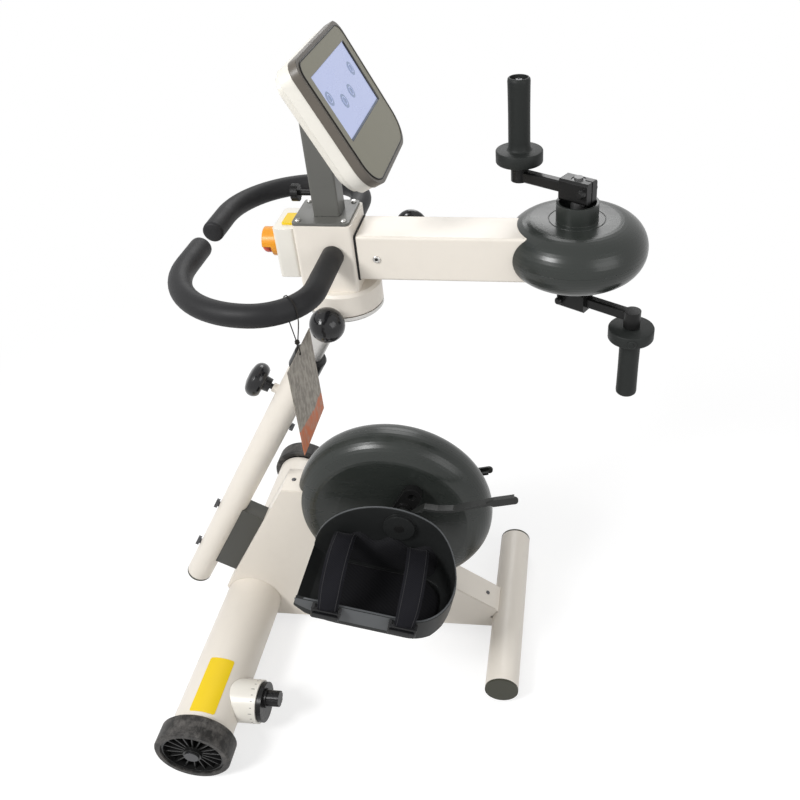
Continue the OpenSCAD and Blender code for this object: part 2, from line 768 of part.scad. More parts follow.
module head_box() {
    bearing = 14;
    l = head_len;
    cx = (head_x0 + head_x1) / 2;
    color(cream) difference() {
        translate([cx, 0, head_z0]) rounded_box(l, head_w, head_h, 5);
        difference() {
            translate([cx - (bearing - head_wall) / 2, 0, head_z0 + head_wall])
                rounded_box(l - bearing - head_wall, head_w - 2 * head_wall, head_h, 2);
            for (x = plate_screw_x, s = [-1, 1]) translate([x, s * plate_screw_y, head_z1 - 16])
                cylinder(h = 17, r = 7);
        }
        rod_x(0, roll_z, head_x1 - bearing - 1, head_x1 + 1, roll_pin_r + running);
        for (s = [-1, 1]) to_side(s)
            rod_y(bar_x, bar_z, -head_w, -head_w / 2 + head_wall + 1, bar_r + fixed_fit);
        for (x = plate_screw_x, s = [-1, 1]) translate([x, s * plate_screw_y, head_z1 - 12])
            cylinder(h = 13, r = screw_r / 2 + fixed_fit);
    }
}

plate_l = 82;
plate_w = head_w - 2;
plate_cx = (head_x0 + head_x1) / 2 - 2;
plate_screw_x = [plate_cx - plate_l / 2 + 8, plate_cx + plate_l / 2 - 8];
plate_screw_y = plate_w / 2 - 8;
post_cx = swivel_x - 6;
mast_l = console_post_w + 1;
mast_w = console_post_w - 1;
mast_wall = 3;
mast_stub_h = 106;
mast_knob_z = plate_z + 28;

module top_plate() {
    color(post_grey) difference() {
        union() {
            translate([plate_cx, 0, head_z1]) rounded_box(plate_l, plate_w, plate_t, 6);
            translate([post_cx, 0, plate_z - 1])
                rounded_box(mast_l - 2 * mast_wall - 0.3, mast_w - 2 * mast_wall - 0.3, mast_stub_h, 1.5);
        }
        for (x = plate_screw_x, s = [-1, 1]) translate([x, s * plate_screw_y, head_z1 - 1])
            cylinder(h = 10, r = screw_r / 2 + fixed_fit);
    }
}

module head_screws() {
    color(steel) {
        for (x = plate_screw_x, s = [-1, 1]) translate([x, s * plate_screw_y, plate_z])
            screw(screw_r, 3, screw_r / 2, 12);
    }
}

bar_x = swivel_x + 3;
bar_z = roll_z + 8.5;
bend_r = 72;
sweep_r = 130;
bar_gap = 22;

// One half of the handlebar from the head outwards, with radius r and a bore of radius q.
// Its runs and bends meet at shallow seams
seam_w = 1;
module bar_path(r, q, y_root, y_tip) {
    y_bend = -bar_reach + bend_r;
    y_sweep = -bar_reach + sweep_r;
    x_bend = bar_x - bend_r;
    x_sweep = x_bend - seam_w;
    x_front = x_sweep - sweep_r;
    bar_run(bar_x, y_bend + seam_w, y_root, r, q);
    bar_run(bar_x, y_bend, y_bend + seam_w, r - 0.5, q > 0 ? q + 0.3 : 0);
    translate([x_bend, y_bend, bar_z]) rotate(-90) rotate_extrude(angle = 90)
        translate([bend_r, 0]) ring(r, q);
    translate([x_sweep, -bar_reach, bar_z]) rotate([90, 0, 90]) linear_extrude(seam_w)
        ring(r - 0.5, q > 0 ? q + 0.3 : 0);
    translate([x_sweep, y_sweep, bar_z]) rotate(180) rotate_extrude(angle = 90)
        translate([sweep_r, 0]) ring(r, q);
    bar_run(x_front, y_sweep, y_sweep + seam_w, r - 0.5, q > 0 ? q + 0.3 : 0);
    bar_run(x_front, y_sweep + seam_w, y_tip, r, q);
}

module ring(r, q) {
    difference() {
        circle(r);
        if (q > 0) circle(q);
    }
}

module bar_run(x, y0, y1, r, q) {
    translate([x, y1, bar_z]) rotate([90, 0, 0]) linear_extrude(y1 - y0) ring(r, q);
}

module handlebar_tubes() {
    color(steel) for (s = [-1, 1]) to_side(s)
        bar_path(bar_r, 0, -head_w / 2 + head_wall + 3, -bar_gap - tip_t - fixed_fit);
}

tip_t = 3;
module hand_foams() {
    color(charcoal) for (s = [-1, 1]) to_side(s) {
        bar_path(foam_r, bar_r + fixed_fit, -head_w / 2 - seat, -bar_gap - tip_t);
        translate([bar_x - bend_r - sweep_r - seam_w, -bar_gap, bar_z]) rotate([90, 0, 0])
            cylinder(h = tip_t, r = foam_r - 0.5);
    }
}

box_l = 32;
box_z0 = head_z0 + 20;
box_h = 76;
box_w = 72;
estop_y = -8;
estop_z = box_z0 + 44;
estop_r = 21;

module switch_box() {
    color(cream) difference() {
        translate([head_x0 - box_l / 2 - tiny, 0, box_z0]) rounded_box(box_l, box_w, box_h, 6);
        translate([head_x0 - box_l / 2 + 2, 0, box_z0 + 3]) rounded_box(box_l - 6, box_w - 6, box_h - 6, 3);
        rod_x(estop_y, estop_z, head_x0 - box_l - 1, head_x0 - box_l + 5, 11);
    }
}

module estop_collar() {
    x1 = head_x0 - box_l - tiny;
    color("#F2B632") difference() {
        union() {
            rod_x(estop_y, estop_z, x1 - 9, x1, estop_r);
            rod_x(estop_y, estop_z, x1 - 1, x1 + 12, 10.8);
            difference() {
                rod_x(estop_y, estop_z, x1 - 22, x1 - 8, estop_r);
                rod_x(estop_y, estop_z, x1 - 23, x1 - 9, estop_r - 2.5);
                translate([x1 - 23, estop_y - estop_r - 1, estop_z - estop_r - 1])
                    cube([14, 2 * estop_r + 2, estop_r + 1]);
            }
        }
        rod_x(estop_y, estop_z, x1 - 10, x1 + 8, 8 + running);
    }
}

module estop_button() {
    x1 = head_x0 - box_l - tiny - 9;
    color("#D8402A") {
        rod_x(estop_y, estop_z, x1 - 6, x1 + 10, 8);
        translate([x1 - 5, estop_y, estop_z]) rotate([0, -90, 0]) rotate_extrude()
            polygon(concat([[0, 0], [15.5, 0], [16.5, 1]], arc([10.5, 5], 6, 0, 90, 6), [[0, 11]]));
    }
}

// Ball knob that locks the swivel, with its pin in the turntable's near side
plunger_z = 8;
plunger_a = -95;
plunger_r = 5;
ball_r = 26;
module swivel_knob() {
    x0 = turntable_r + 8;
    translate([swivel_x, 0, turn_z0 + plunger_z]) rotate(plunger_a) {
        color(steel) rod_x(0, 0, pivot_r + 1, x0 + 10, plunger_r);
        color(black) translate([x0, 0, 0]) rotate([0, 90, 0]) rotate_extrude()
            polygon(concat([[0, 0], [12, 0]], arc([0, ball_r - 3], ball_r, -60, 84, 16),
                [[0, ball_r - 3 + ball_r * sin(84)]]));
    }
}

tag_x = 256;
tag_y = bar_y_at(tag_x);
function bar_y_at(x) = -bar_reach + bend_r - sqrt(pow(bend_r, 2) - pow(x - bar_x + bend_r, 2));
tag_drop = 64;
tag_w = 108;
tag_h = 140;
string_r = 0.8;
string_sides = 8;
string_step = 4;

// Route of the string in the plane across the foam: sideways, and up from the bar's axis.
// It starts at the knot, goes over the foam and back, and on through the tag's hole
string_up = [[2.2, -51], [5, -43], [9, -33], [12.8, -23], [16, -13], [17.6, -2], [16.6, 6.5],
    [12.2, 13], [5, 17.2]];
string_down = [[-5, 17.2], [-12.2, 13], [-16.6, 6.5], [-17.6, -2], [-16, -13], [-12.8, -23],
    [-9, -33], [-5, -43], [-2.2, -51]];
string_eye = [[-2.2, -58], [-3.1, -63.5], [-3.6, -68.4], [-2.5, -71], [0, -72], [2.5, -71],
    [3.6, -68.4], [3.1, -63.5], [2.2, -58], [2.2, -53]];
string_route = concat(string_up, string_down, string_eye);

// Points along a route, at most about one step apart
function along(route, step) = concat([for (i = [0 : len(route) - 2]) let (a = route[i],
    b = route[i + 1], n = max(1, round(norm(b - a) / step))) for (k = [0 : n - 1]) a + (b - a) * k / n],
    [route[len(route) - 1]]);

// Tube of radius r along points in the X-Z plane
module flat_tube(points, r, sides) {
    n = len(points);
    rings = [for (i = [0 : n - 1]) let (d = points[min(n - 1, i + 1)] - points[max(0, i - 1)],
        side = [d[1], -d[0]] / norm(d)) for (k = [0 : sides - 1]) let (a = 360 * k / sides)
        [points[i][0] + r * cos(a) * side[0], r * sin(a), points[i][1] + r * cos(a) * side[1]]];
    skin = [for (i = [0 : n - 2], k = [0 : sides - 1]) let (a = i * sides + k,
        b = i * sides + (k + 1) % sides) each [[a, a + sides, b + sides], [a, b + sides, b]]];
    start = [for (k = [1 : sides - 2]) [0, k, k + 1]];
    end = [for (k = [1 : sides - 2]) (n - 1) * sides * [1, 1, 1] + [0, k + 1, k]];
    polyhedron(rings, concat(skin, start, end));
}

module hang_tag() {
    top = bar_z - tag_drop;
    color("#B7AC9C") difference() {
        translate([tag_x - 0.5, tag_y - tag_w / 2, top - tag_h]) cube([1, tag_w, tag_h]);
        rod_x(tag_y, top - 7, tag_x - 2, tag_x + 2, 2.5);
    }
}

module tag_string() {
    turn = atan2(tag_y + bar_reach - bend_r, tag_x - bar_x + bend_r);
    color(black) translate([tag_x, tag_y, bar_z]) rotate(turn)
        flat_tube(along(string_route, string_step), string_r, string_sides);
}

// Console

console_c = [swivel_x + 52.4, 0, plate_z + 154.4];
module console_frame() {
    translate(console_c) rotate([0, 90 - console_tilt, 0]) children();
}

// Face outline: X is down the face, with wide lower corners
module face_outline(d) {
    h = console_h - 2 * d;
    w = console_w - 2 * d;
    r0 = 20 - d * 0.5;
    r1 = 42 - d;
    for (s = [-1, 1]) {
        translate([-h / 2 + r0, s * (w / 2 - r0)]) circle(r0);
        translate([h / 2 - r1, s * (w / 2 - r1)]) circle(r1);
    }
    translate([-h / 2 + r0, -w / 2]) square([h - r0 - r1, w]);
    translate([-h / 2, -w / 2 + r0]) square([h / 2, w - 2 * r0]);
    translate([0, -w / 2 + r1]) square([h / 2, w - 2 * r1]);
}

tilt_x = -30;
tilt_z = -console_t + 16;
tilt_pin_r = 5;
screen_x0 = 27 - console_h / 2;

module console_post() {
    pin = tilt_pin();
    color(post_grey) difference() {
        union() {
            translate([post_cx, 0, plate_z + seat]) rounded_box(mast_l, mast_w, pin[2] - plate_z - seat, 3);
            rod_y(pin[0], pin[2], -mast_w / 2, mast_w / 2, 12);
            translate([post_cx, -mast_w / 2, pin[2] - 16]) cube([pin[0] - post_cx, mast_w, 16]);
        }
        translate([post_cx, 0, plate_z - 1])
            rounded_box(mast_l - 2 * mast_wall, mast_w - 2 * mast_wall, pin[2] - plate_z - 17, 1.5);
        rod_y(pin[0], pin[2], -mast_w, mast_w, tilt_pin_r + running);
        rod_x(0, mast_knob_z, post_cx - mast_l, post_cx - mast_l / 2 + mast_wall + 1, 4 + running);
    }
}

// Centre of the tilt pin in the machine's frame
function tilt_pin() = let (b = 90 - console_tilt)
    console_c + [tilt_x * cos(b) + tilt_z * sin(b), 0, -tilt_x * sin(b) + tilt_z * cos(b)];

module console_knob() {
    x1 = post_cx - mast_l / 2;
    color(steel) rod_x(0, mast_knob_z, x1 - 22, x1 + mast_wall - 1, 4);
    color(black) difference() {
        rod_x(0, mast_knob_z, x1 - 31, x1 - 21, 12);
        for (a = [0 : 30 : 330]) translate([x1 - 32, 0, mast_knob_z]) rotate([a, 0, 0])
            translate([0, -1, 11]) cube([12, 2, 3]);
    }
}

// Rear shell: a stepped dish with a pocket for the post's tilt pin
module console_back() {
    w = mast_w + 2;
    color(cream) difference() {
        console_frame() difference() {
            union() {
                translate([0, 0, -console_t + 14]) linear_extrude(console_t - 26) face_outline(1.5);
                translate([0, 0, -console_t + 6]) linear_extrude(9) face_outline(7);
                translate([0, 0, -console_t]) linear_extrude(7) face_outline(16);
            }
            translate([0, 0, -console_t + 20]) linear_extrude(console_t) face_outline(5);
            translate([tilt_x - 22, -w / 2, -console_t - 1]) cube([90, w, 30]);
        }
    }
    color(steel) console_frame() translate([tilt_x, w / 2 + 4, tilt_z]) rotate([90, 0, 0])
        cylinder(h = w + 8, r = tilt_pin_r);
}

module console_bezel() {
    color("#7F776B") console_frame() difference() {
        translate([0, 0, -12]) linear_extrude(12) face_outline(0);
        translate([0, 0, -13]) linear_extrude(9) face_outline(8);
        translate([0, 0, -2]) linear_extrude(3) face_outline(6);
        translate([screen_x0, -screen_w / 2, -14]) cube([screen_h, screen_w, 20]);
    }
}

module console_panel() {
    color("#9C9A84") console_frame() difference() {
        translate([0, 0, -2]) linear_extrude(2.6) face_outline(6 + seat);
        translate([screen_x0, -screen_w / 2, -14]) cube([screen_h, screen_w, 20]);
    }
}

module console_screen() {
    color("#B9BFE6") console_frame() translate([screen_x0 + seat, -screen_w / 2 + seat, -6])
        cube([screen_h - 2 * seat, screen_w - 2 * seat, 5.4]);
}

// Arm unit

module beam_tube() {
    plate = 8;
    color(cream) {
        difference() {
            translate([beam_x0, 0, roll_z]) beam_box(beam_x1 - beam_x0, beam_w, beam_h, 4);
            translate([beam_x0 + plate, 0, roll_z])
                beam_box(beam_x1 - beam_x0, beam_w - 2 * beam_wall, beam_h - 2 * beam_wall, 2);
            translate([beam_x0 + 27, -beam_w / 2 - 1, roll_z]) rotate([-90, 0, 0])
                cylinder(h = beam_wall + 4, r = screw_r / 2 + fixed_fit);
            rod_y(beam_x0 + 62, roll_z + 6, beam_w / 2 - beam_wall - 2, beam_w, 6 + fixed_fit);
            rod_x(0, roll_z, beam_x0 + 1, beam_x0 + plate + 1, 9);
        }
        difference() {
            rod_x(0, roll_z, head_x1 - 14, beam_x0 + 2, roll_pin_r);
            rod_x(0, roll_z, head_x1 - 15, beam_x0 + 3, 9);
        }
        translate([beam_x0 + 27, -beam_w / 2, roll_z]) rotate([90, 0, 0]) screw(screw_r, 2, screw_r / 2, 6);
    }
}

// Box along +X from X = 0, centred on Y and Z, with rounded long edges
module beam_box(l, w, h, r) {
    rotate([90, 0, 90]) linear_extrude(l) rounded_rect(w, h, r);
}

module beam_seam() {
    color(black) difference() {
        translate([head_x1 + seat, 0, roll_z]) beam_box(seam_t, beam_w + 2, beam_h + 2, 4);
        rod_x(0, roll_z, head_x1, beam_x0, roll_pin_r + fixed_fit);
    }
}

// Turning lock on the beam's far side
module beam_knob() {
    x = beam_x0 + 62;
    z = roll_z + 6;
    color(steel) rod_y(x, z, beam_w / 2 - beam_wall - 4, beam_w / 2 + 20, 6);
    color(black) translate([x, beam_w / 2 + 14, z]) rotate([-90, 0, 0]) mushroom(24, 26, 9);
}

// Outline of the arm drum, drawn in by d: a flat face and a round rim
arm_flat_r = arm_drum_r - arm_drum_half;
ring_line = [[arm_flat_r - 22, arm_drum_half], [arm_flat_r - 22, arm_drum_half - 0.8],
    [arm_flat_r - 20.8, arm_drum_half - 0.8], [arm_flat_r - 20.8, arm_drum_half]];
function arm_profile(d) = concat([[arm_shaft_r + 3, arm_drum_half - d]], d > 0 ? [] : ring_line,
    arc([arm_flat_r, 0], arm_drum_half - d, 90, 0, 12));

module arm_drum_half_shell(up) {
    outer = arm_profile(0);
    inner = arm_profile(drum_wall);
    n = len(inner);
    color(drum_grey) translate([arm_x, arm_offset, roll_z]) mirror([0, 0, up > 0 ? 0 : 1]) difference() {
        union() {
            translate([0, 0, 0.1]) rotate_extrude($fn = 96)
                polygon(concat(outer, [for (i = [0 : n - 1]) inner[n - 1 - i]]));
            difference() {
                translate([0, 0, arm_drum_half - 2]) cylinder(h = hub_neck_z - arm_drum_half + 2, r = hub_r);
                translate([0, 0, arm_drum_half - 3]) cylinder(h = hub_neck_z, r = hub_r - 3.5);
            }
        }
        translate([beam_x0 - arm_x, -arm_offset, 0])
            beam_box(beam_x1 - beam_x0 + 1, beam_w + 2 * seat, beam_h + 2 * seat, 4);
    }
}

module arm_motor() {
    hub_half = arm_drum_half - drum_wall - seat;
    lug_x0 = beam_x1 - 24;
    lug_w = beam_w - 2 * beam_wall - 2 * seat;
    lug_h = beam_h - 2 * beam_wall - 2 * seat;
    color(post_grey) difference() {
        union() {
            translate([arm_x, arm_offset, roll_z - 26]) cylinder(h = 52, r = 44);
            translate([arm_x, arm_offset, roll_z - hub_half]) cylinder(h = 2 * hub_half, r = 20);
            translate([lug_x0, 0, roll_z]) beam_box(beam_x1 + 20 - lug_x0, lug_w, lug_h, 2);
        }
        translate([arm_x, arm_offset, roll_z - arm_drum_half])
            cylinder(h = 2 * arm_drum_half, r = arm_shaft_r + running);
    }
}

// Shaft through the arm drum, with a screw head on each end
module arm_shaft() {
    color(steel) translate([arm_x, arm_offset, roll_z]) {
        translate([0, 0, 1 - clamp_z1]) cylinder(h = 2 * clamp_z1 - 2, r = arm_shaft_r);
        translate([0, 0, -clamp_z1 - 3]) cylinder(h = 2 * clamp_z1 + 6, r = 6.4);
    }
}

// Bar along X from x0 to x1 with bevelled long edges
module bevel_bar(x0, x1, half, z0, z1, c) {
    translate([x0, 0, 0]) rotate([90, 0, 90]) linear_extrude(x1 - x0) polygon([
        [-half, z0 + c], [-half + c, z0], [half - c, z0], [half, z0 + c],
        [half, z1 - c], [half - c, z1], [-half + c, z1], [-half, z1 - c]]);
}

// Crank on top of the hub, reaching to -X: a split clamp with its cross bolt, an arm,
// and a boss that carries the grip's pin
module arm_crank() {
    clamp_half = 14;
    clamp_out = 22;
    bolt_x = 15.5;
    bolt_z = 88;
    color(black) {
        difference() {
            union() {
                bevel_bar(-24, clamp_out, clamp_half, clamp_z0, clamp_z1, 3);
                bevel_bar(-arm_crank_len, -20, 7, arm_z0, arm_z1, 2);
                translate([-arm_crank_len, 0, arm_z0]) cylinder(h = boss_z1 - arm_z0, r = 12.5);
                translate([-arm_crank_len, 0, boss_z1 - 1])
                    cylinder(h = grip_end - 13 - boss_z1, r = grip_pin_r);
            }
            translate([0, 0, clamp_z0 - 1])
                cylinder(h = clamp_z1 - clamp_z0 + 2, r = arm_shaft_r + fixed_fit);
            translate([arm_shaft_r - 2, -1.2, clamp_z0 - 1])
                cube([clamp_out, 2.4, clamp_z1 - clamp_z0 + 2]);
        }
        translate([bolt_x, 0, bolt_z]) rotate([90, 0, 0]) rotate_extrude() polygon([
            [0, -clamp_half - 4], [4, -clamp_half - 4], [6, -clamp_half - 2], [6, -clamp_half],
            [3, -clamp_half], [3, clamp_half - 0.5], [6, clamp_half - 0.5], [6, clamp_half + 7],
            [4, clamp_half + 10], [0, clamp_half + 10]]);
    }
}

// Puts children on the arm crank's axis at its angle, above the drum or below it
module on_crank(up) {
    translate([arm_x, arm_offset, roll_z]) rotate([0, up > 0 ? 0 : 180, -arm_crank_angle]) children();
}

module upper_crank() {
    on_crank(1) arm_crank();
}

module lower_crank() {
    on_crank(-1) arm_crank();
}

// Hand grip that turns on the crank's pin: a flange, a sleeve and a screw in its hollow end
module hand_grip() {
    z1 = flange_z0 + flange_t;
    rim = grip_r - 3.5;
    color(charcoal) translate([-arm_crank_len, 0, 0]) rotate_extrude() polygon([
        [grip_pin_r + running, flange_z0], [flange_r - 2, flange_z0], [flange_r, flange_z0 + 2],
        [flange_r, z1 - 2], [flange_r - 2, z1], [grip_r + 2, z1], [grip_r, z1 + 2],
        [grip_r, grip_end - 2], [grip_r - 2, grip_end], [rim, grip_end], [rim, grip_end - 5],
        [5, grip_end - 5], [5, grip_end - 2.5], [0, grip_end - 2.5], [0, grip_end - 12],
        [grip_pin_r + running, grip_end - 12]]);
}

// Round button on the lower grip's flange
module grip_button() {
    color(black) translate([-arm_crank_len, 0, flange_z0 + flange_t / 2]) rotate(-90 - arm_crank_angle)
        rod_x(0, 0, flange_r - 4, flange_r + 4, 6.5);
}

module upper_grip() {
    on_crank(1) hand_grip();
}

module lower_grip() {
    on_crank(-1) {
        hand_grip();
        grip_button();
    }
}

in_frame() front_tube();
in_frame() dial_housing();
in_frame() dial_knob();
in_frame() housing_shell();
in_frame() housing_covers();
in_frame() base_screws();
in_frame() rear_tube();
in_frame() end_caps();
in_frame() rear_feet();
in_frame() column_bracket();
in_frame() column_tube();
in_frame() column_collar();
in_frame() leg_drum_shell(-1);  // leg_drum_near
in_frame() leg_drum_shell(1);  // leg_drum_far
in_frame() leg_motor();
in_frame() leg_bearings();
in_frame() wheel_tyre(-1);  // near_wheel_tyre
in_frame() wheel_hub(-1);  // near_wheel_hub
in_frame() wheel_tyre(1);  // far_wheel_tyre
in_frame() wheel_hub(1);  // far_wheel_hub
in_frame() inner_post();
in_frame() height_knob();
in_frame() turntable();
in_frame() head_box();
in_frame() top_plate();
in_frame() head_screws();
in_frame() handlebar_tubes();
in_frame() hand_foams();
in_frame() switch_box();
in_frame() estop_collar();
in_frame() estop_button();
in_frame() swivel_knob();
in_frame() hang_tag();
in_frame() tag_string();
in_frame() console_post();
in_frame() console_knob();
in_frame() console_back();
in_frame() console_bezel();
in_frame() console_panel();
in_frame() console_screen();
in_frame() beam_tube();
in_frame() beam_seam();
in_frame() beam_knob();
in_frame() arm_drum_half_shell(1);  // arm_drum_upper
in_frame() arm_drum_half_shell(-1);  // arm_drum_lower
in_frame() arm_motor();
in_frame() arm_shaft();
in_frame() upper_crank();
in_frame() lower_crank();
in_frame() upper_grip();
in_frame() lower_grip();
in_frame() leg_shaft();
in_frame() leg_crank(-1);  // near_leg_crank
in_frame() leg_crank(1);  // far_leg_crank
in_frame() foot_tray(-1);  // near_foot_tray
in_frame() foot_tray(1);  // far_foot_tray
in_frame() tray_straps(-1);  // near_tray_straps
in_frame() tray_straps(1);  // far_tray_straps
in_frame() calf_bar(-1);  // near_calf_bar
in_frame() calf_bar(1);  // far_calf_bar
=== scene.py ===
"""Looks of an arm and leg ergometer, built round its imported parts.

Lengths are in metres, in the parts' own frame: X towards the user, Y across, Z up.
"""
import json
import logging
import math
from dataclasses import dataclass, field
from enum import Enum
from typing import Callable, Iterable, Sequence

import bmesh
import bpy
from mathutils import Matrix, Vector


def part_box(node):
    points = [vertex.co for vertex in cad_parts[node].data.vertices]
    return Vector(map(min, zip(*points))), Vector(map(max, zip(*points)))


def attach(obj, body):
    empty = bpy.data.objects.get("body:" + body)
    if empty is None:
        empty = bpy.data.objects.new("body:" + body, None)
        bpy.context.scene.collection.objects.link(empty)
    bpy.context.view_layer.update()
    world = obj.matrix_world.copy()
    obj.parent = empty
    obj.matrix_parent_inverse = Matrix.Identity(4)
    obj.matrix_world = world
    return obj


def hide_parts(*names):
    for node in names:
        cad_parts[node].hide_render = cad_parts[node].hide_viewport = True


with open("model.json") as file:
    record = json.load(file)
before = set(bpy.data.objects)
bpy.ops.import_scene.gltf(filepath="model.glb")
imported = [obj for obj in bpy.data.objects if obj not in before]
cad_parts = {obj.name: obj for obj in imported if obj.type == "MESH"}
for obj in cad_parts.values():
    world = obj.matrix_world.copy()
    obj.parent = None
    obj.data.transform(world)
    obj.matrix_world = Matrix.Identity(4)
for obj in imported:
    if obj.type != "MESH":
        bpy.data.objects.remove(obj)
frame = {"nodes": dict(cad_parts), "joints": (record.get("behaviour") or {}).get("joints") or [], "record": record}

LOG = logging.getLogger("ergometer")
Point = tuple[float, float, float]
Colour = tuple[float, float, float]
MM = 0.001


class Channel:
    """A shader socket that can be used in sums, with numbers or other channels."""

    def __init__(self, graph: "Graph", socket: bpy.types.NodeSocket) -> None:
        """Wraps one output socket of a graph."""
        self.graph = graph
        self.socket = socket

    def _math(self, operation: str, first: object, second: object) -> "Channel":
        """Adds one Math node.

        Args:
            operation: The Math node's operation.
            first: Its first value, a channel or a number.
            second: Its second value.

        Returns:
            The node's output.
        """
        return self.graph.node("ShaderNodeMath", {"operation": operation}, {0: first, 1: second})

    def __add__(self, other: object) -> "Channel":
        """The sum of both."""
        return self._math("ADD", self, other)

    def __radd__(self, other: object) -> "Channel":
        """The sum of both."""
        return self._math("ADD", other, self)

    def __sub__(self, other: object) -> "Channel":
        """This less the other."""
        return self._math("SUBTRACT", self, other)

    def __rsub__(self, other: object) -> "Channel":
        """The other less this."""
        return self._math("SUBTRACT", other, self)

    def __mul__(self, other: object) -> "Channel":
        """The product of both."""
        return self._math("MULTIPLY", self, other)

    def __rmul__(self, other: object) -> "Channel":
        """The product of both."""
        return self._math("MULTIPLY", other, self)

    def __pow__(self, other: object) -> "Channel":
        """This raised to the other."""
        return self._math("POWER", self, other)

    def at_least(self, other: object) -> "Channel":
        """The larger of both."""
        return self._math("MAXIMUM", self, other)

    def at_most(self, other: object) -> "Channel":
        """The smaller of both."""
        return self._math("MINIMUM", self, other)

    def over(self, limit: float) -> "Channel":
        """One where this is larger than the limit, else zero."""
        return self._math("GREATER_THAN", self, limit)


class Graph:
    """A material's node tree with one Principled shader."""

    def __init__(self, name: str) -> None:
        """Starts an empty material.

        Args:
            name: The material's name.
        """
        self.material = bpy.data.materials.new(name)
        self.material.use_nodes = True
        self.tree = self.material.node_tree
        self.shader = self.tree.nodes["Principled BSDF"]

    def node(self, kind: str, settings: dict | None = None, inputs: dict | None = None,
             output: int | str = 0) -> Channel:
        """Adds one node, sets it up and feeds it.

        Args:
            kind: The node's type.
            settings: Its own settings. "stops" gives a ramp's places and grey levels.
            inputs: Values or channels for its sockets, by name or place.
            output: The output to return.

        Returns:
            That output as a channel.
        """
        made = self.tree.nodes.new(kind)
        for key, value in (settings or {}).items():
            if key == "stops":
                self._stops(made.color_ramp, value)
            else:
                setattr(made, key, value)
        for key, value in (inputs or {}).items():
            self.feed(made.inputs[key], value)
        return Channel(self, made.outputs[output])

    def feed(self, socket: bpy.types.NodeSocket, value: object) -> None:
        """Links a channel to a socket, or sets the socket's own value."""
        if isinstance(value, Channel):
            self.tree.links.new(value.socket, socket)
        elif isinstance(value, (tuple, list)) and socket.type == "RGBA":
            socket.default_value = (*value[:3], 1.0)
        else:
            socket.default_value = value

    @staticmethod
    def _stops(ramp: bpy.types.ColorRamp, stops: Sequence[tuple[float, float]]) -> None:
        """Gives a ramp its places and grey levels."""
        while len(ramp.elements) < len(stops):
            ramp.elements.new(0.5)
        for element, (place, level) in zip(ramp.elements, stops):
            element.position = place
            element.color = (level, level, level, 1.0)

    def place(self, scale: Point = (1.0, 1.0, 1.0), turn: Point = (0.0, 0.0, 0.0)) -> Channel:
        """The point's own coordinates in metres, turned and scaled."""
        here = self.node("ShaderNodeTexCoord", output="Object")
        return self.node("ShaderNodeMapping", None, {"Vector": here, "Scale": scale, "Rotation": turn})

    def noise(self, size: float, detail: float = 3.0, rough: float = 0.55,
              stretch: Point = (1.0, 1.0, 1.0)) -> Channel:
        """Soft noise with grains of about that size.

        Args:
            size: The grains' size in metres.
            detail: How many finer layers it holds.
            rough: How strong the finer layers are.
            stretch: How much longer the grains are along each axis.

        Returns:
            A value from 0 to 1.
        """
        place = self.place(tuple(1.0 / s for s in stretch))
        return self.node("ShaderNodeTexNoise", None,
                         {"Vector": place, "Scale": 1.0 / size, "Detail": detail, "Roughness": rough})

    def cells(self, size: float, feature: str = "F1") -> Channel:
        """Distance to the nearest cell point, for cells of about that size."""
        return self.node("ShaderNodeTexVoronoi", {"feature": feature},
                         {"Vector": self.place(), "Scale": 1.0 / size})

    def ramp(self, value: Channel, *stops: tuple[float, float]) -> Channel:
        """The value run through a grey ramp."""
        return self.node("ShaderNodeValToRGB", {"stops": stops}, {"Fac": value})

    def blend(self, amount: object, first: object, second: object, mode: str = "MIX") -> Channel:
        """Mixes two colours by a value."""
        settings = {"data_type": "RGBA", "blend_type": mode}
        return self.node("ShaderNodeMix", settings, {0: amount, 6: first, 7: second}, 2)

    def bump(self, height: Channel, depth: float, strength: float = 1.0,
             under: Channel | None = None) -> Channel:
        """A normal that follows a height.

        Args:
            height: The height, from 0 to 1.
            depth: What a height of 1 stands for, in metres.
            strength: How much of it shows.
            under: A normal to start from.

        Returns:
            The new normal.
        """
        inputs = {"Height": height, "Distance": depth, "Strength": strength}
        if under is not None:
            inputs["Normal"] = under
        return self.node("ShaderNodeBump", None, inputs)

    def rounded(self, radius: float) -> Channel:
        """A normal that rounds the edges by a radius in metres."""
        return self.node("ShaderNodeBevel", {"samples": 6}, {"Radius": radius})

    def set(self, **values: object) -> None:
        """Sets or feeds sockets of the shader, with _ for the spaces of their names."""
        for key, value in values.items():
            self.feed(self.shader.inputs[key.replace("_", " ")], value)


@dataclass(frozen=True)
class PowderCoat:
    """Satin powder coating on steel, with a fine orange peel."""

    colour: Colour
    roughness: float = 0.38
    edge: float = 1.2 * MM
    grime: float = 0.10

    def dress(self, g: Graph) -> None:
        """Builds the finish in a graph."""
        peel = g.noise(1.6 * MM, 2.0)
        cloud = g.noise(0.12, 3.0)
        dust = g.ramp(g.noise(0.035, 6.0, 0.65), (0.52, 0.0), (0.78, 1.0))
        tone = g.blend(cloud * 0.5, self.colour, tuple(c * 0.93 for c in self.colour))
        dirty = tuple(c * 0.72 for c in self.colour)
        g.set(Base_Color=g.blend(dust * self.grime, tone, dirty),
              Roughness=self.roughness + cloud * 0.10 + dust * 0.06,
              Normal=g.bump(peel, 0.05 * MM, 0.35, g.rounded(self.edge)),
              IOR=1.5, Coat_Weight=0.12, Coat_Roughness=0.18)


